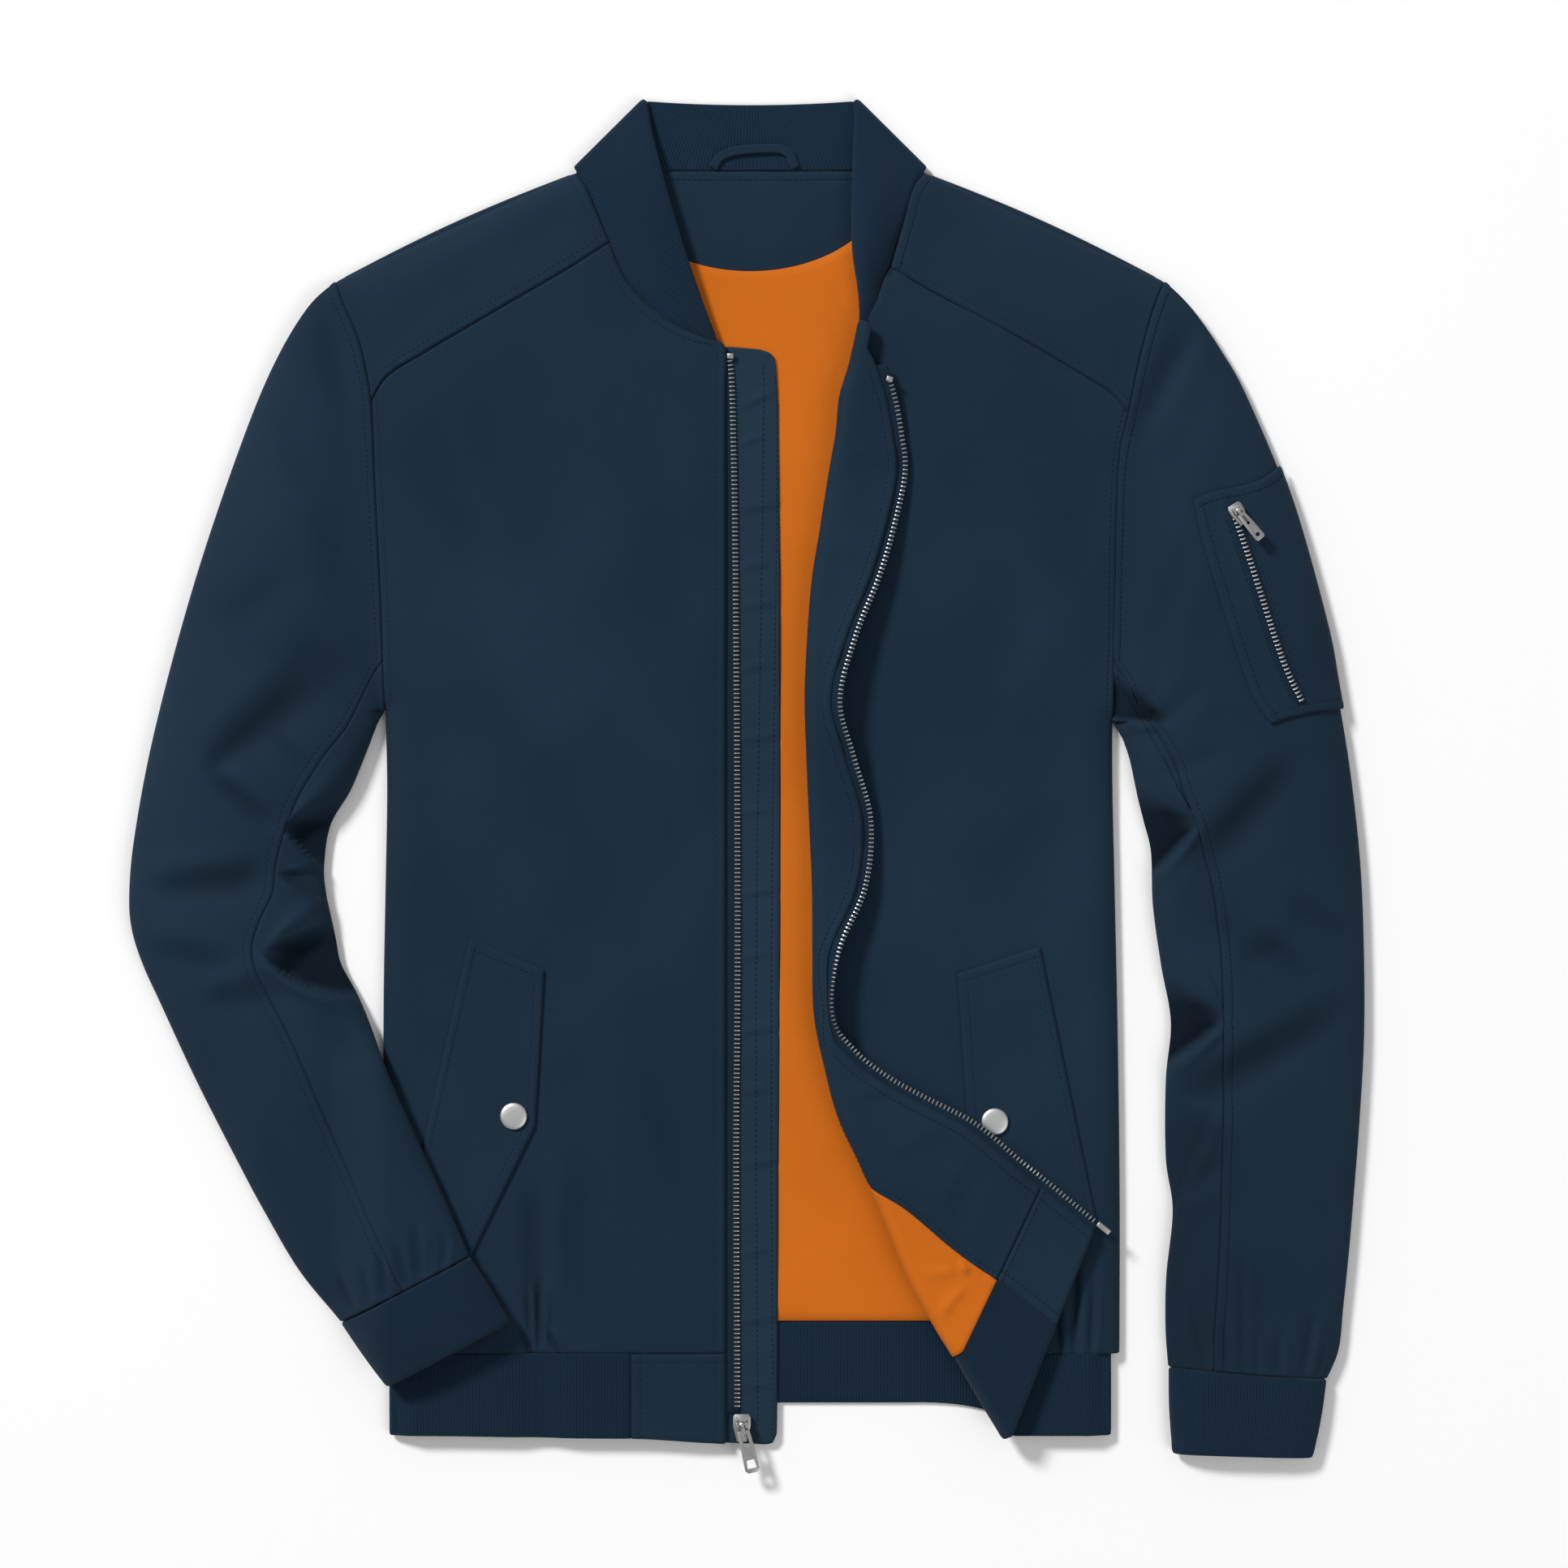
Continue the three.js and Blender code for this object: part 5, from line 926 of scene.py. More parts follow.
leftSleeveRows = tableOf(
    sleeveNames, (200, 36, 230, 280, 0.136, 9.1), (202.5, 32.5, 245, 264, 0.125, 12),
    (204.5, 29, 261, 241, 0.12, 14.5), (206.5, 25, 275, 216, 0.115, 16), (210, 14, 298, 160, 0.135, 18),
    (214, -5, 317, 93, 0.19, 18), (217.5, -19, 324, 57, 0.2, 18), (221.5, -36, 332, 8, 0.235, 17),
    (222.5, -65, 337.5, -43, 0.285, 17), (227, -98, 339.5, -93, 0.29, 17),
    (232.5, -130, 339.5, -139, 0.262, 17), (229.7, -162, 337, -185, 0.29, 17),
    (229.7, -205, 333.5, -230, 0.29, 16), (233.5, -234, 331, -259, 0.262, 16),
    (230, -270, 328, -288, 0.28, 15), (229.5, -298, 325.5, -311, 0.275, 14),
    (231, -320.7, 319, -327.4, 0.28, 12))
rightSleeveFolds = tableOf(
    foldNames, (-292, 14, -234, 62, 6, 20, 0.18, 0.38), (-330, -57, -276, -50, 11, 10, 0.05, 0.26),
    (-300, -120, -262, -113, 9, 11, 0.04, 0.14))
rightSleeveTucks = tableOf(
    tuckNames, (-258, -21, -236, -43, -224, -6, 0, 0.95), (-269, -90, -219, -113, -230, -71, 0.45, 1.0),
    (-262, -47, -238, -60, -236, -44, 0, 0.3))
leftSleeveFolds = tableOf(
    foldNames, (305, 16, 254, -36, 16, 12, 0.07, 0.4), (300, -80, 250, -62, 12, 12, 0.03, 0.16),
    (330, -116, 252, -164, 8, 14, 0.08, 0.4), (304, -78, 328, -104, 8, 7, 0.14, 0.05))
leftSleeveTucks = tableOf(
    tuckNames, (247, -19, 222, -46, 213, 2, 0.1, 0.95), (263, -126, 231, -151, 228, -102, 0.1, 0.95),
    (259, -170, 231, -238, 231, -158, 0, 0.42), (232, 36, 203, 39, 203, 63, 0, 0.85))
# Listed creases: at the elbows, the sleeve heads and the gathers above the cuffs
rightSleeveCreases = tableOf(
    creaseNames, (-330, -55, -270, -52, 7, 2.2), (-300, 10, -240, 58, 9, 1.8),
    (-297, 8, -262, -22, 5, 2.8), (-262, 30, -240, 8, 5, 1.3), (-330, -88, -280, -100, 7, 1.7),
    (-300, -118, -262, -112, 7, 1.5), (-240, -122, -212, -150, 6, 0.8), (-290, 90, -250, 120, 9, 0.9),
    (-236, 262, -222, 200, 7, 1.0), (-232, 150, -226, 90, 9, 0.8), (-262, 205, -240, 160, 9, 0.6),
    (-268, -190, -240, -240, 8, 0.6), (-228, -268, -218, -290, 3, 1.7),
    (-204, -256, -199, -283, 2.6, 1.9), (-194, -250, -188, -277, 2.4, 1.5),
    (-184, -240, -181, -273, 3, 1.8), (-167, -244, -169, -266, 2.4, 1.5),
    (-214, -262, -209, -287, 2.4, 1.2), (-174, -250, -176, -270, 2, 0.9))
leftSleeveCreases = tableOf(
    creaseNames, (256, -36, 300, 16, 8, 2.3), (252, -70, 318, -106, 7, 2.0),
    (246, -170, 332, -122, 8, 2.4), (262, -205, 234, -228, 6, 1.6), (296, -60, 334, -84, 7, 1.5),
    (268, -96, 300, -84, 7, 1.4), (252, 60, 218, 30, 6, 0.9), (262, 20, 226, 8, 6, 0.8),
    (246, 262, 210, 190, 8, 2.0), (240, 140, 214, 60, 9, 0.8), (270, 118, 240, 70, 9, 0.5),
    (300, -216, 322, -240, 8, 0.8), (240, -250, 236, -300, 4, 0.9), (242, -278, 253, -323, 3, 1.8),
    (271, -258, 272, -324, 2.8, 1.4), (278, -300, 281, -326, 2.4, 1.6), (311, -290, 305, -327, 3, 1.7),
    (261, -292, 264, -324, 2.4, 1.1), (292, -296, 292, -326, 2.4, 1.1), (317, -306, 315, -327, 2, 1.0))
carried = {"height": 12.2, "outside": 30.0, "inside": 6.0}


def carriedBase(x, y):  # over the right front's side the forearm is carried by the body
    inside = x - edgeOf[-1](np.clip(y, -330, 42.5))
    return carried["height"] * smooth(inside, -carried["outside"], carried["inside"]) * smooth(-y, 118, 158)


def onTable(x, y):
    return 0 * x


def tubeOf(side, table, folds, tucks, creases, base, tip=2.0, edgeZ=4.0, meetsBody=True):
    return {**columnsOf(table), "side": side, "table": table, "folds": folds, "tucks": tucks,
            "creases": creases, "base": base, "tip": tip, "edgeZ": edgeZ, "meetsBody": meetsBody,
            "last": len(table["inX"]) - 1}


# the shade painted into a sleeve's colour
def paintedShadeOn(tube, face):
    return paintedShadeOf(face[..., 0], face[..., 1], tube["creases"], tube["folds"], tube["tucks"])


sleeves = {
    -1: tubeOf(-1, rightSleeveRows, rightSleeveFolds, rightSleeveTucks, rightSleeveCreases, carriedBase),
    1: tubeOf(1, leftSleeveRows, leftSleeveFolds, leftSleeveTucks, leftSleeveCreases, onTable)}


def tubePlan(tube, across, row):  # the place in plan, and the tube's width there
    inX, inY, outX, outY = (tube[k](row) for k in ("inX", "inY", "outX", "outY"))
    x, y = mix(inX, outX, across), mix(inY, outY, across)
    if tube["meetsBody"]:
        first = {k: tube["table"][k][0] for k in ("inX", "inY", "outX", "outY")}
        headY = mix(first["inY"], first["outY"], across)
        bulge = edgeOf[tube["side"]](headY) - mix(first["inX"], first["outX"], across)
        x = x + bulge * np.clip(1 - row / 6, 0, 1) ** 2
    return x, y, np.hypot(outX - inX, outY - inY)


looseSleeve = 0.75  # how high the sleeve's slow unevenness stands


def tubePoint(tube, around, row):  # around runs 0 to 1 over the top, and 1 to 2 back underneath
    around, row = np.broadcast_arrays(np.asarray(around, float), np.asarray(row, float))
    under = (around < 0) | (around > 1)
    across = np.where(around > 1, 2 - around, np.abs(around))
    x, y, width = tubePlan(tube, across, row)
    off = np.abs(2 * across - 1)
    edgeZ, tip, crown = tube["edgeZ"], tube["tip"], tube["crown"](row)
    lowZ = edgeZ * (1 - np.sqrt(np.maximum(0, 1 - off ** (tip * width / edgeZ**2))))
    rise = np.sqrt(np.maximum(0, 1 - off ** np.maximum(2.2, tip * width / (crown - edgeZ) ** 2)))
    full = edgeZ + (crown - edgeZ) * rise
    if tube["meetsBody"]:
        share = (frontTop(x, y) - lie["edgeTop"]) / lie["rise"]
        head = edgeZ + share * (lie["edgeTop"] + lie["rise"] - edgeZ)
        full = mix(head, full, smooth(row, 0, 3.2))
    sunk = pressed(tube["folds"], x, y) + tucked(tube["tucks"], x, y)
    full = edgeZ + (full - edgeZ) * (1 - np.clip(sunk, -0.3, 0.96))
    laid = creased(tube["creases"], x, y) + sway(x, y, looseSleeve) * smooth(row, 0.5, 3)
    full = full + laid * smooth(rise, 0.25, 0.7)
    return stacked(x, y, tube["base"](x, y) + np.where(under, lowZ, full))


sleeveCut = {"step": 2.1, "top": (0.30, 0.66, 0.098), "under": (0.11, 0.57, 0.030), "backSeam": 0.35,
             "halfSeam": 0.1, "bends": np.array([0, 0.003, 0.009, 0.018, 0.03, 0.05, 0.08, 0.12])}


def buildSleeveTop(tube, name, rows, seam):  # from the front seam over the outer edge to the seam underneath
    side = tube["side"]
    over = placesOf(85, sleeveCut["step"], True, False)
    bend = 1 - sleeveCut["bends"][:0:-1]
    over = np.unique(np.concatenate([over[over < 0.88], bend, [1.0]]))
    back = np.concatenate([1 - bend[::-1], np.linspace(0.16, 1, 14)])
    under = np.broadcast_to(2 - mix(1.0, sleeveCut["backSeam"], back), (len(rows), len(back)))
    around = np.concatenate([mix(seam, 1.0, over), under], 1)
    face = tubePoint(tube, around, rows[:, None]) + [side * gap, 0, 0]
    runs = runsOf(face)
    out = normalsOf(face) * -side
    face = face + out * (sewn(runs["first"]) + sewn(runs["top"]) + sewn(runs["bottom"], False))[..., None]
    clothPiece(name, face, face - out * thick["sleeve"], "shell",
               paintedShade=paintedShadeOn(tube, face))
    sew(lineOn(face[:, : len(over)], "first", 0.01, 0.995, -side))
    sew(lineOn(face[:, : len(over)], "top", 0.02, 0.98, -side))


def buildSleeveUnder(tube, name, rows, seam):  # from the seam underneath round to the front seam
    side, ends = tube["side"], sleeveCut["bends"]
    below = mix(0.0, sleeveCut["backSeam"], np.concatenate([ends[1:], np.linspace(0.2, 1, 10)]))[::-1]
    below = np.broadcast_to(-below, (len(rows), len(below))).copy()
    below[:, 0] += 0.004
    up = seam * np.concatenate([ends, 1 - placesOf(32, 1.5, True)[::-1][1:]])
    up = np.sort(up, axis=1)
    face = tubePoint(tube, np.concatenate([below, up], 1), rows[:, None]) + [side * gap, 0, 0]
    out = normalsOf(face) * -side
    runs = runsOf(face)
    form = sewn(runs["last"], False) + sewn(runs["top"]) + sewn(runs["bottom"], False)
    face = face + out * form[..., None]
    clothPiece(name, face, face - out * thick["sleeve"], "shell",
               paintedShade=paintedShadeOn(tube, face))


def buildSleeve(side, name):
    tube = sleeves[side]
    rows = placesOf(tube["last"] * 27, sleeveCut["step"], True, True) * (tube["last"] - 0.01)
    width = np.hypot(tube["inX"](rows) - tube["outX"](rows), tube["inY"](rows) - tube["outY"](rows))
    seam, half = tube["seam"](rows), sleeveCut["halfSeam"] / width
    buildSleeveTop(tube, name + "_top", rows, (seam + half)[:, None])
    buildSleeveUnder(tube, name + "_under", rows, (seam - half)[:, None])


def rolledEdge(d):  # a knit's folded edge rounds off
    return -0.5 * np.exp(-(d / 1.2) ** 2)


cuffNames = "inX inY outX outY crown"
rightCuffRows = tableOf(
    cuffNames, (-153.6, -258.7, -225.8, -296.6, 12.5), (-143, -276, -213, -313, 12.5),
    (-132, -294, -200, -330, 12))
leftCuffRows = tableOf(
    cuffNames, (231.2, -321.1, 318.6, -327.8, 12.5), (232, -345, 315, -350, 12.5),
    (233, -368, 311.2, -370.5, 12))


def buildCuff(side, name, table, base):
    plain = (emptyTable(names) for names in (foldNames, tuckNames, creaseNames))
    tube = tubeOf(side, table, *plain, base, tip=2.6, edgeZ=5.0, meetsBody=False)
    ends = np.array([0, 0.002, 0.006, 0.012, 0.022, 0.036, 0.055, 0.08])
    over = np.concatenate([ends, np.linspace(0.1, 0.9, 56), 1 - ends[::-1][:-1]])
    around = np.concatenate([over, over + 1])
    rows = placesOf(40, 1.6, True, True) * 2
    grid = tubePoint(tube, around, rows[:, None]) + [side * gap, 0, 0]
    out = normalsOf(grid, True) * -side
    runs = runsOf(grid)
    puff = 0.5 * np.sin(np.pi * np.clip(runs["top"] / 40, 0, 1))
    grid = grid + out * (sewn(runs["top"], False) + puff + rolledEdge(runs["bottom"]))[..., None]
    clothPiece(name, grid, grid - out * thick["cuff"], "rib_knit", around=True)


print("body and sleeve forms are ready")

# The back, its lining and the facing at the neck


def patch(left, right, bottom, top, rowCount, columnCount):  # a sheet between four lines in plan
    def spreadOn(line, count):
        line = np.array(line, float)
        run = np.concatenate([[0], np.cumsum(np.hypot(*np.diff(line, axis=0).T))])
        return np.stack([np.interp(np.linspace(0, run[-1], count), run, line[:, k]) for k in (0, 1)], -1)
    left, right = spreadOn(left, rowCount)[:, None], spreadOn(right, rowCount)[:, None]
    bottom, top = spreadOn(bottom, columnCount)[None], spreadOn(top, columnCount)[None]
    u = np.linspace(0, 1, columnCount)[None, :, None]
    v = np.linspace(0, 1, rowCount)[:, None, None]
    corners = mix(mix(bottom[:, :1], bottom[:, -1:], u), mix(top[:, :1], top[:, -1:], u), v)
    plan = mix(left, right, u) + mix(bottom, top, v) - corners
    return stacked(plan[..., 0], plan[..., 1], 0)


def backSeam(x):
    return hem["backSeamY"] - hem["drop"] * smooth(np.abs(x), hem["dropFrom"], hem["halfWidth"])


backCut = {"cut": (0.47, 0.64, 0.262), "neckY": 341.4}
neckFacing = {"halfWidth": 78.0, "topY": 341.0, "dip": 55.0, "cut": (0.16, 0.056, 0.0070)}
backLining = {"left": -60.0, "right": 158.0, "cut": (0.22, 0.60, 0.122)}


def buildBack():
    low = np.linspace(-300, 42, 60)
    high = np.linspace(42, 280, 50)[1:]

    def sideLine(side):
        ys = np.concatenate([low, high])
        ys[0] = backSeam(203)
        return [(edgeOf[side](y) - side * 0.2, y) for y in ys] + [(side * 160, 313), (side * 96, 339)]
    xs = np.linspace(-202.6, 203.4, 90)
    seam = [(x, backSeam(x) + gap) for x in xs]
    neck = [(-96, 339), (0, backCut["neckY"]), (96, 339)]
    plan = patch(sideLine(-1), sideLine(1), seam, neck, 130, 90)
    top = plan + [0, 0, thick["shell"]]
    clothPiece("back", top, plan, "shell")


insideCreases = tableOf(
    creaseNames, (-40, 240, -20, 60, 12, 0.8), (90, 200, 40, 30, 14, 0.8), (20, -20, 60, -180, 12, 0.9),
    (0, 150, 24, 100, 8, 0.6), (40, -220, 100, -270, 9, 0.8), (-10, -100, 20, -150, 8, 0.5),
    (60, 120, 110, 90, 10, 0.6))


def laidSheet(plan, z, thickness, folds, height):
    x, y = plan[..., 0], plan[..., 1]
    inner = np.minimum.reduce(list(runsOf(plan).values()))
    lift = (creased(folds, x, y) * 0.5 + 0.45 + sway(x, y, height)) * smooth(inner, 0, 12)
    top = stacked(x, y, z + thickness + np.maximum(lift, 0))
    return top, top - [0, 0, thickness]


def buildInside():
    arc = np.linspace(-1, 1, 60)
    dips = neckFacing["dip"] * np.sqrt(np.maximum(1 - arc * arc, 0.0004))
    bow = list(zip(arc * neckFacing["halfWidth"], neckFacing["topY"] - dips))
    topLine = [(-neckFacing["halfWidth"], neckFacing["topY"]), (neckFacing["halfWidth"], neckFacing["topY"])]
    plan = patch([bow[0], topLine[0]], [bow[-1], topLine[1]], bow, topLine, 90, 60)
    top, low = laidSheet(plan, liningZ, thick["lining"], insideCreases, 0.1)
    runs = runsOf(plan)
    top = top + stacked(0, 0, sewn(runs["bottom"]))
    clothPiece("neck_facing", top, low, "shell")
    sew(lineOn(top, "bottom", 0.03, 0.97, -1))
    left, right = backLining["left"], backLining["right"]
    bottom = [(x, backSeam(x) + gap + 0.5) for x in np.linspace(left, right, 60)]
    head = [(left, 300)] + [(x, y - gap) for x, y in bow if left < x < 74] + [(78, 300)]
    plan = patch([bottom[0], head[0]], [bottom[-1], (right, 220), head[-1]], bottom, head, 110, 56)
    top, low = laidSheet(plan, liningZ, thick["lining"], insideCreases, 0.35)
    clothPiece("lining_back", top, low, "lining")
    sew(lineOn(top, "top", 0.02, 0.9, -1, inside=2.0), "orange")


# Ribbed collar and hem: ribbons through stations, each with a point at the seam and one at the free edge


def ribbon(seamPoints, freePoints, arch=None, step=2.4, columns=15):
    a, b = np.array(seamPoints, float), np.array(freePoints, float)
    arch = np.zeros(len(a)) if arch is None else np.array(arch, float)
    middle = (a + b) / 2
    run = np.concatenate([[0], np.cumsum(np.linalg.norm(np.diff(middle, axis=0), axis=1))])
    counts = np.maximum(np.diff(run) / step, 3).astype(int) + 1
    at = np.unique(np.concatenate([np.linspace(run[k], run[k + 1], counts[k]) for k in range(len(counts))]))
    seam = np.stack([through(run, a[:, k])(at) for k in range(3)], -1)
    free = np.stack([through(run, b[:, k])(at) for k in range(3)], -1)
    bow = through(run, arch)(at)
    share = placesOf(40, 40 / columns, True, True)
    grid = mix(seam[:, None], free[:, None], share[None, :, None])
    grid[..., 2] += bow[:, None] * 4 * share * (1 - share)
    return grid


collarNames = "seamX seamY freeX freeY seamZ freeZ arch"
collarRight = tableOf(
    collarNames, (-18.4, 245.6, -17.8, 246.4, 8, 8, 0), (-21.5, 248.1, -19.6, 250.1, 8, 8.2, 0),
    (-30, 251.4, -25, 264, 8, 8.8, 0.5), (-40, 254.6, -31, 281, 8, 9.6, 1),
    (-50, 261, -36.5, 297, 8, 10.4, 1.4), (-59.4, 270, -41, 312, 8, 11, 1.7),
    (-69.4, 283, -45.5, 327, 8, 11, 1.8), (-77.2, 301, -49.5, 342, 8, 10, 1.6),
    (-83.6, 316, -52.6, 354, 7.4, 8.6, 1.2), (-88.6, 327, -55, 364, 6.6, 7, 0.8))
collarLeft = tableOf(
    collarNames, (91.4, 332, 58.2, 369, 5.8, 6, 0.6), (88.2, 322, 57.6, 358, 6.8, 7.4, 1.5),
    (84.6, 311, 57, 342, 7.6, 9, 3), (80.8, 300, 56.4, 325, 8, 10, 4.5),
    (77.2, 287, 56.2, 308, 8, 10.5, 5), (73, 278, 57, 293, 8, 10.5, 4),
    (70.4, 268, 59.4, 277, 8, 10, 2.5), (68, 261, 60.6, 265, 8, 8.8, 0.6),
    (66, 255, 60.8, 257.4, 7.8, 8.2, 0), (62.6, 250, 61, 251, 7.6, 7.6, 0))
collarRoll = {"seamX": 97.0, "seamY": 342.8, "freeX": 59.0, "freeY": 380.5, "radius": 1.9}
collarCut = {"neckY": 341.7, "under": 2.6, "cut": (0.052, 0.40, 0.0145)}


def collarRollStations(side):
    edge = np.array([side * collarRoll["seamX"], collarRoll["seamY"]])
    free = np.array([side * collarRoll["freeX"], collarRoll["freeY"]])
    along = unit(free - edge)
    inward = np.array([along[1], -along[0]]) * -side
    angle = np.linspace(0, np.pi, 9)[:, None]
    out = collarRoll["radius"] * (1 - np.sin(angle))
    z = thick["rib"] / 2 + collarRoll["radius"] * (1 + np.cos(angle))
    return np.hstack([edge + inward * out, z]), np.hstack([free + inward * out, z])


def collarFront(table):  # the stations of one front end: at its seam and at its free edge
    clear = np.where(table["arch"] > 0, 0.6 + 0.25 * table["arch"], 0)
    clear = clear / np.hypot(table["freeX"] - table["seamX"], table["freeY"] - table["seamY"])
    seamX, seamY = (mix(table["seam" + k], table["free" + k], clear) for k in "XY")
    return stacked(seamX, seamY, table["seamZ"]), stacked(table["freeX"], table["freeY"], table["freeZ"])


def collarForm(half):  # the middle of the knit all round
    x = np.linspace(-80, 80, 13)
    backSeamLine = stacked(x, collarCut["neckY"] + gap, half)
    backFree = stacked(x * 0.7, 377.5 + 2 * (x / 80) ** 2, half)
    rollR, rollL = collarRollStations(-1), collarRollStations(1)
    right, left = collarFront(collarRight), collarFront(collarLeft)
    seam = np.vstack([right[0], rollR[0], backSeamLine, rollL[0][::-1], left[0]])
    free = np.vstack([right[1], rollR[1], backFree, rollL[1][::-1], left[1]])
    between = np.zeros(len(seam) - len(right[0]) - len(left[0]))
    return ribbon(seam, free, np.concatenate([collarRight["arch"], between, collarLeft["arch"]]))


def buildCollar():
    half = thick["rib"] / 2
    grid = collarForm(half)
    out = normalsOf(grid)
    runs = runsOf(grid)
    upper, lower = grid + out * half, grid - out * half
    shape = (sewn(runs["first"], False) * 0.6 + rolledEdge(runs["last"]))[..., None]
    inFront = np.abs(grid[:, :1, 1] - collarCut["neckY"]) > 1.5
    tuck = np.where(inFront, np.exp(-(runs["first"] / 1.5) ** 2), 0)[..., None]
    toSeam = unit(grid[:, :1] - grid[:, 1:2]) * tuck * collarCut["under"]
    upper, lower = (face + toSeam - [0, 0, 1.9] * tuck for face in (upper, lower))
    clothPiece("collar", upper + out * shape, lower - out * shape * 0.4, "rib_knit",
               swap=True, material=collarRib)


sideRoll = {"radius": 1.8, "lowZ": thick["rib"] / 2}
hemCut = {"tabX": -66.0, "cut": (0.047, 0.72, 0.0320), "tab": (0.056, 0.049, 0.0026)}


def hemTop(x, y):
    return np.maximum(frontTop(x, y), sideRoll["lowZ"] + 2 * sideRoll["radius"] + thick["rib"] / 2)


def rightHemEndY(x):
    return hem["endY"] - 1.5 * smooth(x, -190, -70) - 3.5 * smooth(x, -70, 0)


def hemSide(side):
    angle = np.linspace(0, np.pi, 9)
    x = side * (hem["halfWidth"] - sideRoll["radius"]) + side * sideRoll["radius"] * np.sin(angle)
    z = sideRoll["lowZ"] + sideRoll["radius"] * (1 + np.cos(angle))
    return stacked(x, hem["seamY"] - gap, z), stacked(x, hem["endY"], z)


def hemBack():
    x = np.linspace(-185, 185, 23)
    drop = hem["drop"] * smooth(np.abs(x), hem["dropFrom"], hem["halfWidth"])
    low = sideRoll["lowZ"]
    return stacked(x, backSeam(x) - gap, low), stacked(x, hem["backEndY"] - drop, low)


def hemRightFront(half):
    x = np.linspace(hemCut["tabX"] - gap, -188, 14)
    z = hemTop(x, hem["seamY"]) - half
    return stacked(x, hem["seamY"] - gap, z), stacked(x, rightHemEndY(x), z)


def hemLeftFront(half):  # the part that lies face up, the roll, and the part that is turned back
    rolledRow = np.array([hemFirst, hemLast])
    _, _, radius, start = foldAt(rolledRow)
    x = np.linspace(188, start[0, 0] + 4, 10)
    lowX = mix(x[0], start[1, 0] + 3, (x - x[0]) / (x[-1] - x[0]))
    front = (stacked(x, hem["seamY"] - gap, hemTop(x, hem["seamY"]) - half),
             stacked(lowX, hem["endY"], hemTop(lowX, hem["seamY"]) - half))
    length = turnedLength(rolledRow) - facingWidth - gap
    angles = np.linspace(np.pi, 0.16 * np.pi, 8)[1:]
    lift = [0, 0, half - thick["shell"] / 2 + 0.4]
    roll = [turnedPoint(-angles * radius[k], rolledRow[k]) for k in (0, 1)]
    flat = [turnedPoint(np.linspace(0, 1, 7) * length[k], rolledRow[k]) + lift for k in (0, 1)]
    return [front, roll, flat]


def buildHem():
    half = thick["rib"] / 2
    right, left = hemSide(-1), hemSide(1)
    parts = [hemRightFront(half), right, hemBack(), (left[0][::-1], left[1][::-1]), *hemLeftFront(half)]
    grid = ribbon(np.vstack([p[0] for p in parts]), np.vstack([p[1] for p in parts]))
    out = normalsOf(grid)
    runs = runsOf(grid)
    swell = 0.3 * np.sin(np.pi * np.clip(runs["first"] / 45, 0, 1))
    form = sewn(runs["first"], False) * 0.7 + rolledEdge(runs["last"]) + swell
    shape = out * form[..., None]
    clothPiece("hem_rib", grid + out * half + shape, grid - out * half - shape * 0.3, "rib_knit",
               swap=True)


def sewnAllRound(runs):
    return sewn(runs["first"]) + sewn(runs["top"]) + sewn(runs["last"]) + sewn(runs["bottom"]) * 0.4


def buildTabs():
    columns = mix(hemCut["tabX"] + gap, -14.0, placesOf(52, 2.4, True, True))
    x, down = gridOf(placesOf(45, 2.0, True, True), columns)
    y = mix(hem["seamY"] - gap, rightHemEndY(x), down)
    plan = stacked(x, y, frontTop(x, hem["seamY"]))
    runs = runsOf(plan)
    top = plan + stacked(0, 0, sewnAllRound(runs))
    clothPiece("hem_tab_right", top, top - [0, 0, thick["tab"]], "shell")
    sew(lineOn(top, "first", inside=6))
    sew(lineOn(top, "last"))
    rows = np.linspace(hemFirst, hemLast, 26)
    length = turnedLength(rows)
    start, end = (length - facingWidth + gap)[:, None], (length - zipReach)[:, None]
    grid = turnedFace(rows, mix(start, end, placesOf(56, 2.4, True, True))) + [0, 0, 0.7]
    out = -normalsOf(grid)
    runs = runsOf(grid)
    high = grid + out * (thick["tab"] / 2 + sewnAllRound(runs))[..., None]
    clothPiece("hem_tab_left", high, grid - out * thick["tab"] / 2, "shell")
    sew(lineOn(high, "first", 0, 1, -1, inside=6))
    sew(lineOn(high, "top", 0, 1, -1, inside=3))
    sew(lineOn(high, "last", 0, 1, -1))


hanger = {"wide": 4.4, "thick": 1.1, "endZ": 3.7, "arch": 0.9,
          "path": ((-20.5, 343), (-17, 348.6), (-11, 351.6), (4, 353.4), (17, 353.2), (21.6, 350.4),
                   (25, 343))}


def buildHanger():
    curve = planCurve(*hanger["path"])
    line = curve(np.linspace(0, 1, 48))
    along = unit(np.gradient(line, axis=0))
    across = np.stack([-along[:, 1], along[:, 0]], -1)
    width = np.array([-0.5, -0.36, -0.15, 0.15, 0.36, 0.5]) * hanger["wide"]
    plan = line[:, None] + across[:, None] * width[None, :, None]
    arch = hanger["arch"] * np.sin(np.linspace(0, np.pi, 48))[:, None]
    top = stacked(plan[..., 0], plan[..., 1], hanger["endZ"] + arch)
    made = wallObject("hanger_loop_cloth", top, top - [0, 0, hanger["thick"]], uvOf(top), navyCloth)
    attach(made, "jacket")
    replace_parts(made, "hanger_loop")


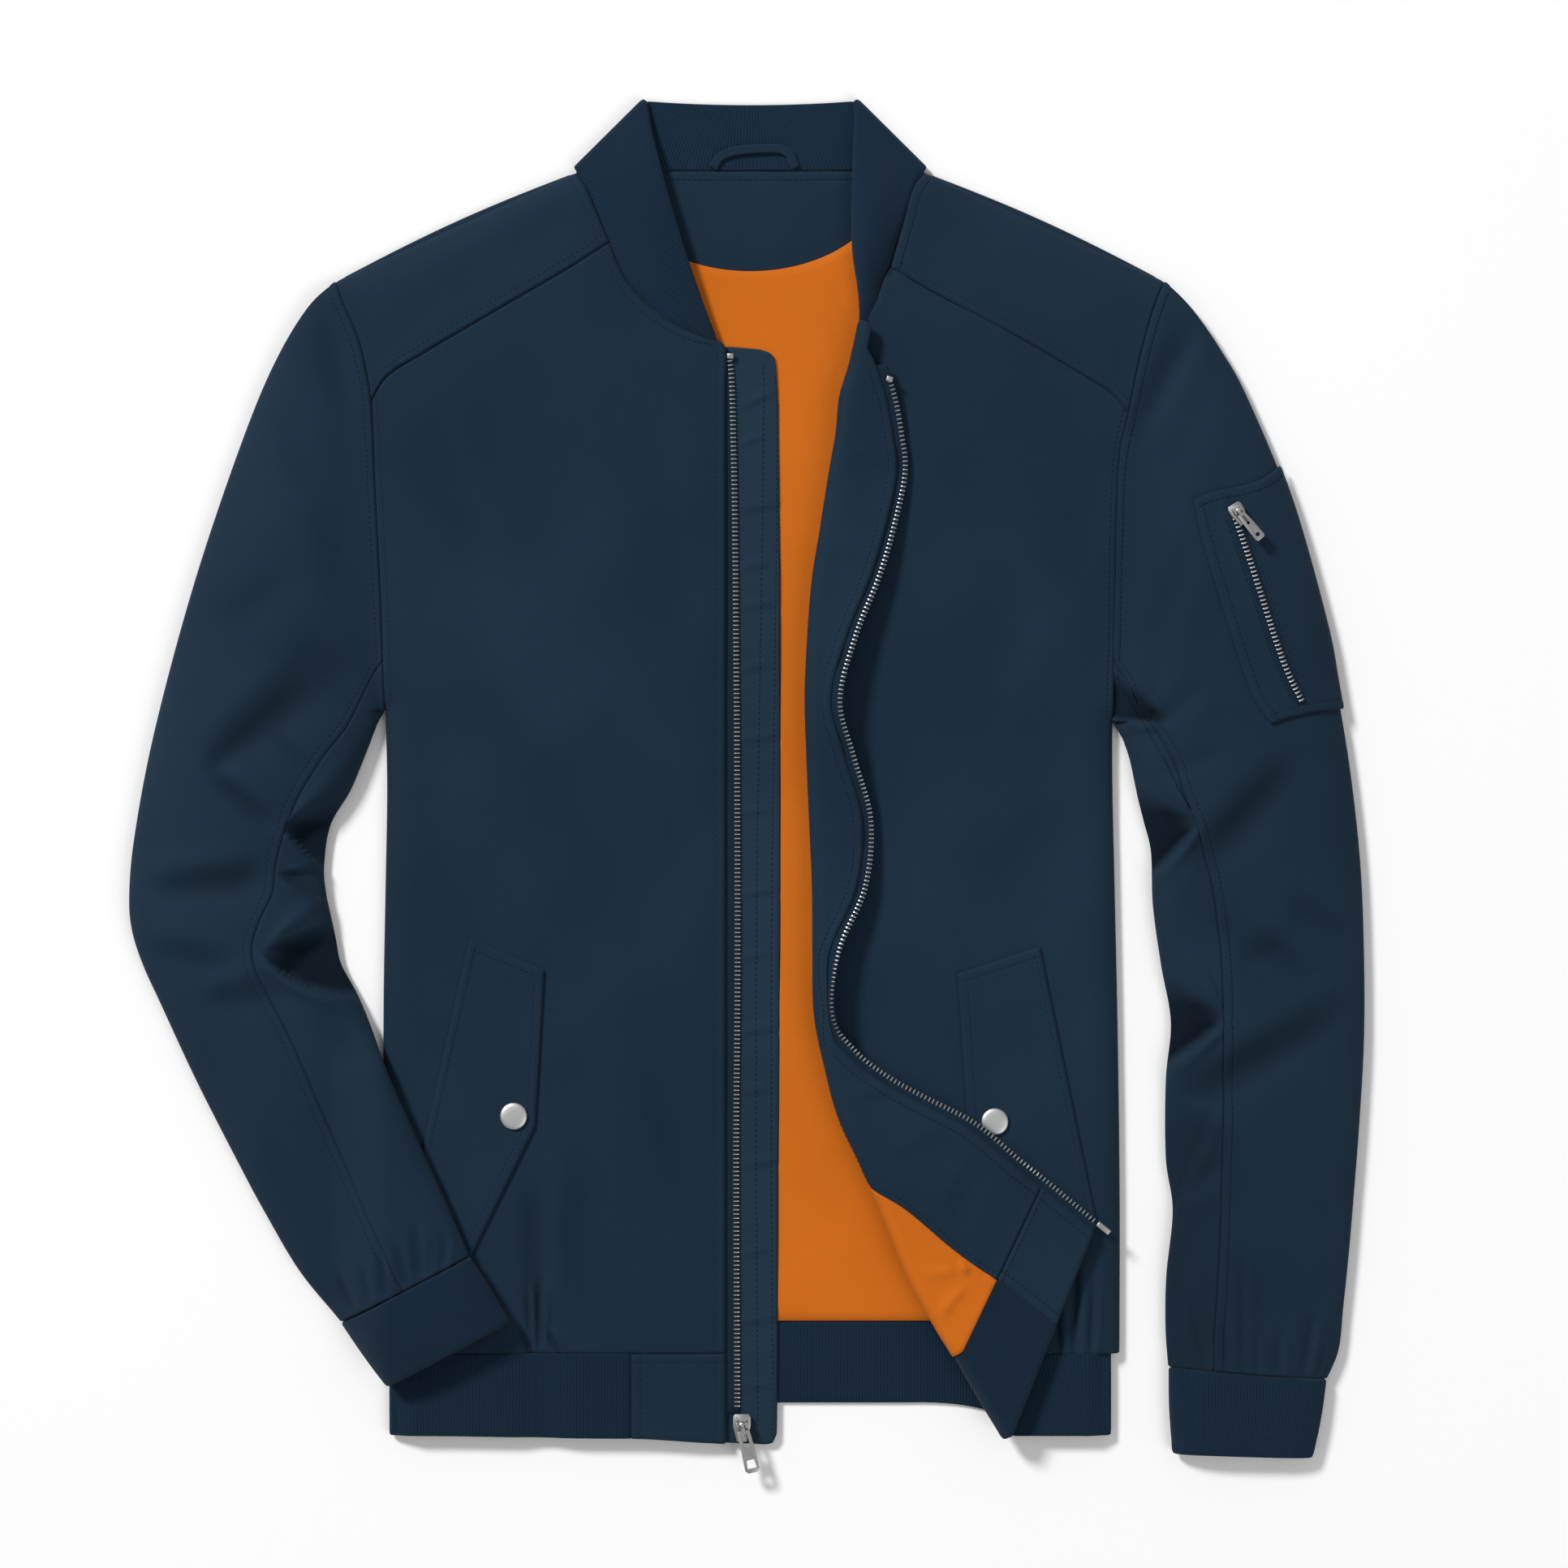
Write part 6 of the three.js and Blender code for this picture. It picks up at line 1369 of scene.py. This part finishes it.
windFlapCreases = tableOf(
    creaseNames, (-6, 206, 16, 216, 2.2, 0.8), (-6, 186, 10, 192, 2.0, 0.9), (-6, 150, 16, 153, 2.4, 0.8),
    (-6, 118, 12, 121, 2.0, 0.7), (-6, 96, 16, 99, 2.2, 0.8), (-6, 62, 12, 65, 2.0, 0.6),
    (-6, 22, 16, 25, 2.4, 0.7), (-6, -18, 12, -16, 2.2, 0.6), (-6, -64, 16, -60, 2.4, 0.8),
    (-6, -98, 12, -95, 2.0, 0.7), (-6, -140, 16, -136, 2.4, 0.8), (-6, -172, 12, -170, 2.0, 0.7),
    (-6, -214, 16, -210, 2.4, 0.8), (-6, -262, 12, -259, 2, 0.6), (-6, -300, 16, -297, 2.4, 0.7),
    (-6, -336, 12, -334, 2.0, 0.6))


def buildWindFlap():
    left = [(-40, -361), (-40, 236)]
    right = [(14.5, -358), (15, -320), (15.5, -215), (16.2, -150), (16.8, 0), (16.6, 120), (15.5, 212),
             (14.2, 232)]
    bottom = [(-40, -361), (8, -363.5), (12, -363), (14.5, -358)]
    head = [(-40, 236), (-20, 242.5), (-12, 243.5), (5, 242), (10, 240.6), (13, 238), (14.2, 232)]
    plan = patch(left, right, bottom, head, 300, 34)
    x, y = plan[..., 0], plan[..., 1]
    runs = runsOf(plan)
    form = np.maximum(creased(windFlapCreases, x, y) * 2.4, -0.2) * smooth(x, -8, -3)
    form = form + (sewn(runs["last"]) + sewn(runs["top"]) * 0.5) * smooth(x, -9, -5)
    z = windFlapZ + thick["windFlap"] + form
    top = stacked(x, y, z)
    clothPiece("wind_flap", top, top - [0, 0, thick["windFlap"]], "shell",
               material=windFlapCloth)
    sew(lineOn(top, "last", 0.004, 0.985))
    sew(lineOn(top, "last", 0.004, 0.99, inside=13.5))


zipTable = tableOf(
    "y x", (240, -12), (228, -10.4), (200, -9.5), (150, -8.5), (80, -7.8), (0, -7.2), (-100, -7),
    (-200, -7.8), (-347, -7.2))
zipX = through(zipTable["y"], zipTable["x"])


def buildRightTape():
    y = np.linspace(240, -346, 150)[:, None]
    x = mix(-26, zipX(y) + 1, np.linspace(0, 1, 9))
    top = stacked(x, y, tapeZ + thick["tape"])
    clothPiece("zip_tape_right", top, top - [0, 0, thick["tape"]], "zip_tape")
    y = np.linspace(237, -345, 300)
    return stacked(zipX(y), y, tapeZ + 0.55), stacked(0 * y, 0, 1)


# Pocket flaps, their snaps and the pocket on the left sleeve

flapCut = {"cut": (0.066, 0.185, 0.0086), "knee": 0.5}
flapCorners = {
    -1: {"top": (-155, -84), "innerTop": (-114, -101), "inner": (-119, -187), "lower": (-156, -262),
         "outer": (-190, -240)},
    1: {"top": (160, -88), "innerTop": (115, -103), "inner": (120.5, -187), "lower": (155, -258),
        "outer": (191, -238)}}
snap = {-1: (-130.5, -181.5), 1: (135.0, -184.5), "radius": 7.5, "base": 0.1, "rim": 1.0,
        "dome": ((0.4, 0.5), (0.5, 0.3), (1.4, 0.26), (1.9, 0.16), (1.7, 0.06))}


def flapTop(x, y):
    return frontTop(x, y) + looseOver(x, y) + 0.4 + thick["flap"]


def buildFlap(side, name):
    corners = {k: np.array(v, float) for k, v in flapCorners[side].items()}
    across, down = gridOf(placesOf(170, 2.6, True, True), placesOf(45, 2.2, True, True))
    knee = flapCut["knee"]
    a, d = across[..., None], down[..., None]
    free = np.where(d < knee, mix(corners["innerTop"], corners["inner"], np.minimum(d / knee, 1)),
                    mix(corners["inner"], corners["lower"], np.clip((d - knee) / (1 - knee), 0, 1)))
    plan = mix(mix(corners["top"], corners["outer"], d), free, a)
    x, y = plan[..., 0], plan[..., 1]
    flat = stacked(x, y, 0)
    runs = runsOf(flat)
    fromSnap = np.hypot(x - snap[side][0], y - snap[side][1])
    lift = 0.5 * np.exp(-(runs["last"] / 9) ** 2) - 0.4 * np.exp(-(fromSnap / 11) ** 2)
    form = (sewn(runs["last"]) * 0.6 + sewn(runs["top"]) * 0.6 + sewn(runs["bottom"]) * 0.4
            + sewn(runs["first"]))
    top = stacked(x, y, flapTop(x, y) + lift + form)
    clothPiece(name, top, top - [0, 0, thick["flap"]], "shell")
    sew(lineOn(top, "last", 0.03, 0.97, -side))
    sew(lineOn(top, "top", 0.06, 0.9, -side))
    sew(lineOn(top, "first", 0.02, 0.98, -side, inside=4))


sleevePocket = {"topInner": (0.66, 2.72), "topOuter": (1.0, 3.72), "endInner": (0.655, 5.86),
                "endOuter": (1.0, 6.3), "straighten": (0.075, 0.2), "low": 0.9, "high": 2.1,
                "cut": (0.075, 0.13, 0.0072)}
pocketZip = {"topAcross": 0.353, "endAcross": 0.478, "topDown": 0.1, "endDown": 0.93, "half": 0.055,
             "thick": 0.6}


# A point of the sleeve under the pocket: 0 to 1 across from its inner edge, and 0 to 1 down
def pocketAt(across, down):
    place = [mix(mix(sleevePocket["topInner"][k], sleevePocket["topOuter"][k], across),
                 mix(sleevePocket["endInner"][k], sleevePocket["endOuter"][k], across), down) for k in (0, 1)]
    place[0] = place[0] - sleevePocket["straighten"][0] * 4 * down * (1 - down) * (1 - across)
    place[1] = place[1] + sleevePocket["straighten"][1] * 4 * across * (1 - across) * (1 - down)
    return tubePoint(sleeves[1], np.minimum(place[0], 0.999), place[1]) + [gap, 0, 0]


def outOf(grid):
    return unit(np.cross(np.gradient(grid, axis=0), np.gradient(grid, axis=1)))


def buildSleevePocket():
    edge = np.array([0.88, 0.92, 0.95, 0.97, 0.985, 1.0])
    rowsAcross = np.concatenate([placesOf(80, 2.2, True) * 0.86, edge])
    across, down = gridOf(placesOf(120, 2.2, True, True), rowsAcross)
    base = pocketAt(across, down)
    out = outOf(base)
    runs = runsOf(base)
    form = sewn(runs["first"]) * 0.8 + sewn(runs["top"]) * 0.8 + sewn(runs["bottom"]) * 0.8
    zipLine = mix(pocketZip["topAcross"], pocketZip["endAcross"], smooth(down, 0, 1))
    reach = np.abs(across - zipLine) * 80
    well = smooth(down, 0.07, 0.1) * (1 - smooth(down, 0.93, 0.96))
    form = form + well * (0.35 * smooth(reach, 4, 6) * (1 - smooth(reach, 9, 12)))
    high = base + out * (sleevePocket["high"] + form)[..., None]
    low = base + out * sleevePocket["low"]
    clothPiece("sleeve_pocket", high, low, "shell")
    sew(lineOn(high, "first", 0.02, 0.98, -1))
    sew(lineOn(high, "top", 0.04, 0.96, -1))
    sew(lineOn(high, "bottom", 0.04, 0.96, -1))


def buildPocketTape():  # with a stitch line on each side of it
    share = np.linspace(0, 1, 60)
    middle = mix(pocketZip["topAcross"], pocketZip["endAcross"], share)
    down = mix(pocketZip["topDown"], pocketZip["endDown"], share)
    offs = np.linspace(-1, 1, 9) * pocketZip["half"]
    grid = pocketAt(middle[:, None] + offs, np.broadcast_to(down[:, None], (60, 9)))
    out = outOf(grid)
    low = grid + out * (sleevePocket["high"] + gap)
    high = low + out * pocketZip["thick"]
    clothPiece("zip_tape_sleeve", high, low, "zip_tape")
    for sign in (-1, 1):
        beside = pocketAt(middle + sign * (pocketZip["half"] + 0.035), down)
        sew((beside + out[:, 4] * (sleevePocket["high"] + 0.35), out[:, 4]))
    return high[:, 4], out[:, 4]


print("small cloth forms are ready")

# Metal: the slider, pull and stop solids are copied and given soft edges; snaps and teeth are modelled


softEdge = {"segments": 2, "angle": 28.0, "shadeAngle": 40.0}


def looseCopy(source, name):  # a copy that stands for no node yet, its loose triangles joined to plain faces
    made = source.copy()
    made.data = source.data.copy()
    made.name = name
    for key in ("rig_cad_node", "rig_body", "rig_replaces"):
        if key in made:
            del made[key]
    made.parent = None
    bpy.context.scene.collection.objects.link(made)
    bpy.ops.object.select_all(action="DESELECT")
    made.select_set(True)
    bpy.context.view_layer.objects.active = made
    bpy.ops.object.mode_set(mode="EDIT")
    bpy.ops.mesh.select_all(action="SELECT")
    bpy.ops.mesh.remove_doubles(threshold=1e-6)
    bpy.ops.mesh.tris_convert_to_quads(face_threshold=0.1, shape_threshold=0.5)
    bpy.ops.mesh.dissolve_limited(angle_limit=np.radians(2))
    bpy.ops.object.mode_set(mode="OBJECT")
    return made


def softened(name, body, width):
    made = looseCopy(nodes[name], name + "_metal")
    bevel = made.modifiers.new("soft edges", "BEVEL")
    bevel.width, bevel.segments = width * mm, softEdge["segments"]
    bevel.limit_method, bevel.angle_limit = "ANGLE", np.radians(softEdge["angle"])
    bevel.harden_normals = False
    bpy.ops.object.modifier_apply(modifier="soft edges")
    made.data.materials.clear()
    made.data.materials.append(satinMetal)
    shadeSmooth(made, softEdge["shadeAngle"])
    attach(made, body)
    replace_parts(made, name)


def buildSnap(side, name):
    x, y = snap[side]
    z = float(flapTop(x, y)) + snap["base"]
    bpy.ops.mesh.primitive_cylinder_add(vertices=64, radius=snap["radius"] * mm, depth=snap["rim"] * mm,
                                        location=(x * mm, y * mm, (z + 0.6) * mm))
    made = bpy.context.active_object
    made.name = name + "_metal"
    bpy.ops.object.mode_set(mode="EDIT")
    bpy.ops.mesh.select_mode(type="FACE")
    bpy.ops.mesh.select_all(action="DESELECT")
    bpy.ops.object.mode_set(mode="OBJECT")
    for face in made.data.polygons:
        face.select = face.normal.z > 0.9
    bpy.ops.object.mode_set(mode="EDIT")
    for inward, upward in snap["dome"]:
        bpy.ops.mesh.inset(thickness=inward * mm)
        bpy.ops.transform.translate(value=(0, 0, upward * mm))
    bpy.ops.object.mode_set(mode="OBJECT")
    bpy.ops.object.transform_apply(location=True, rotation=True, scale=True)
    made.data.materials.append(snapMetal)
    shadeSmooth(made, 50)
    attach(made, "jacket")
    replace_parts(made, name)
    bpy.ops.object.select_all(action="DESELECT")


teeth = {"pitch": 2.36, "right": (0.95, 3.1, 1.6), "left": (0.95, 2.7, 1.6), "sleeve": (0.95, 3.1, 1.2),
         "rightLift": 0.0, "leftLift": 0.1, "sleeveLift": 0.35}
stitching = {"pitch": 3.1, "navy": (2.4, 0.5, 0.42), "orange": (2.4, 0.5, 0.4), "lift": 0.06}


def smallPiece(made):
    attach(made, "jacket")


buildBack()
buildInside()
buildRightFront()
buildYoke(-1, "yoke_right")
buildYoke(1, "yoke_left")
buildLeftFront()
buildFacing()
buildLeftLining()
leftTeeth = buildLeftTape()
print("fronts and back are laid")
buildSleeve(-1, "sleeve_right")
buildSleeve(1, "sleeve_left")
buildCuff(-1, "cuff_right", rightCuffRows, carriedBase)
buildCuff(1, "cuff_left", leftCuffRows, onTable)
print("sleeves and cuffs are laid")
buildCollar()
buildHem()
buildTabs()
buildHanger()
buildWindFlap()
rightTeeth = buildRightTape()
buildFlap(-1, "pocket_flap_right")
buildFlap(1, "pocket_flap_left")
buildSleevePocket()
sleeveTeeth = buildPocketTape()
print("collar, hem, flaps and pocket are laid")

for name, body, width in (("slider_main", "jacket", 0.45), ("pull_main", "main_pull", 0.3),
                          ("slider_sleeve", "jacket", 0.35), ("pull_sleeve", "sleeve_pull", 0.25),
                          ("zip_stop_right", "jacket", 0.35), ("zip_stop_left", "jacket", 0.35),
                          ("zip_pin", "jacket", 0.4)):
    softened(name, body, width)
buildSnap(-1, "snap_right")
buildSnap(1, "snap_left")

tooth, toothFaces = modelled(bpy.ops.mesh.primitive_cube_add, size=1.0)
for place, line in (("right", rightTeeth), ("left", leftTeeth), ("sleeve", sleeveTeeth)):
    smallPiece(repeated("zip_teeth_" + place, tooth, toothFaces, [line], teeth["pitch"], teeth[place],
                        teeth[place + "Lift"], toothMetal))
stitch, stitchFaces = modelled(bpy.ops.mesh.primitive_ico_sphere_add, radius=0.5, subdivisions=1)
for thread, material, slotName in (("navy", navyThread, "shell"), ("orange", orangeThread, "lining")):
    smallPiece(repeated("topstitching_" + thread, stitch, stitchFaces, seams[thread], stitching["pitch"],
                        stitching[thread], stitching["lift"], material))
print("metal and sewing are in place")

# The floor, the lights and the camera straight above, in metres
studio = {"floorWide": 12, "floorZ": -0.0006, "floorTint": (0.96, 0.96, 0.96), "sky": 0.34,
          "key": {"place": (-4.4, 4.6, 4.8), "size": 1.7, "energy": 590},
          "fill": {"place": (1.9, -1.7, 2.4), "size": 2.2, "energy": 27},
          "lens": 100, "sensor": 36, "camera": (0.0187, 0.0018, 2.415)}

bpy.ops.mesh.primitive_plane_add(size=studio["floorWide"], location=(0, 0, studio["floorZ"]))
floor = bpy.context.active_object
floor.name = "floor"
floorFinish, _, _ = newMaterial("pale floor", studio["floorTint"], 0.9)
floor.data.materials.append(floorFinish)

world = bpy.data.worlds.new("studio")
bpy.context.scene.world = world
world.use_nodes = True
world.node_tree.nodes["Background"].inputs["Color"].default_value = (1, 1, 1, 1)
world.node_tree.nodes["Background"].inputs["Strength"].default_value = studio["sky"]


def softLight(name, place, size, energy):  # a round soft light that faces the middle of the jacket
    data = bpy.data.lights.new(name, "AREA")
    data.shape, data.size, data.energy = "DISK", size, energy
    made = bpy.data.objects.new(name, data)
    made.location = place
    made.rotation_euler = (-Vector(place)).to_track_quat("-Z", "Y").to_euler()
    bpy.context.scene.collection.objects.link(made)


softLight("key", **studio["key"])
softLight("fill", **studio["fill"])

camera = bpy.data.objects.new("camera", bpy.data.cameras.new("camera"))
camera.data.lens = studio["lens"]
camera.data.sensor_width = studio["sensor"]
camera.location = studio["camera"]
camera.data.clip_start, camera.data.clip_end = 0.05, 30
bpy.context.scene.collection.objects.link(camera)
bpy.context.scene.camera = camera
bpy.context.scene.view_settings.view_transform = "Standard"

for name, area in sorted(areas.items()):
    print(f"cloth {name}: {area:.4f} square metres")
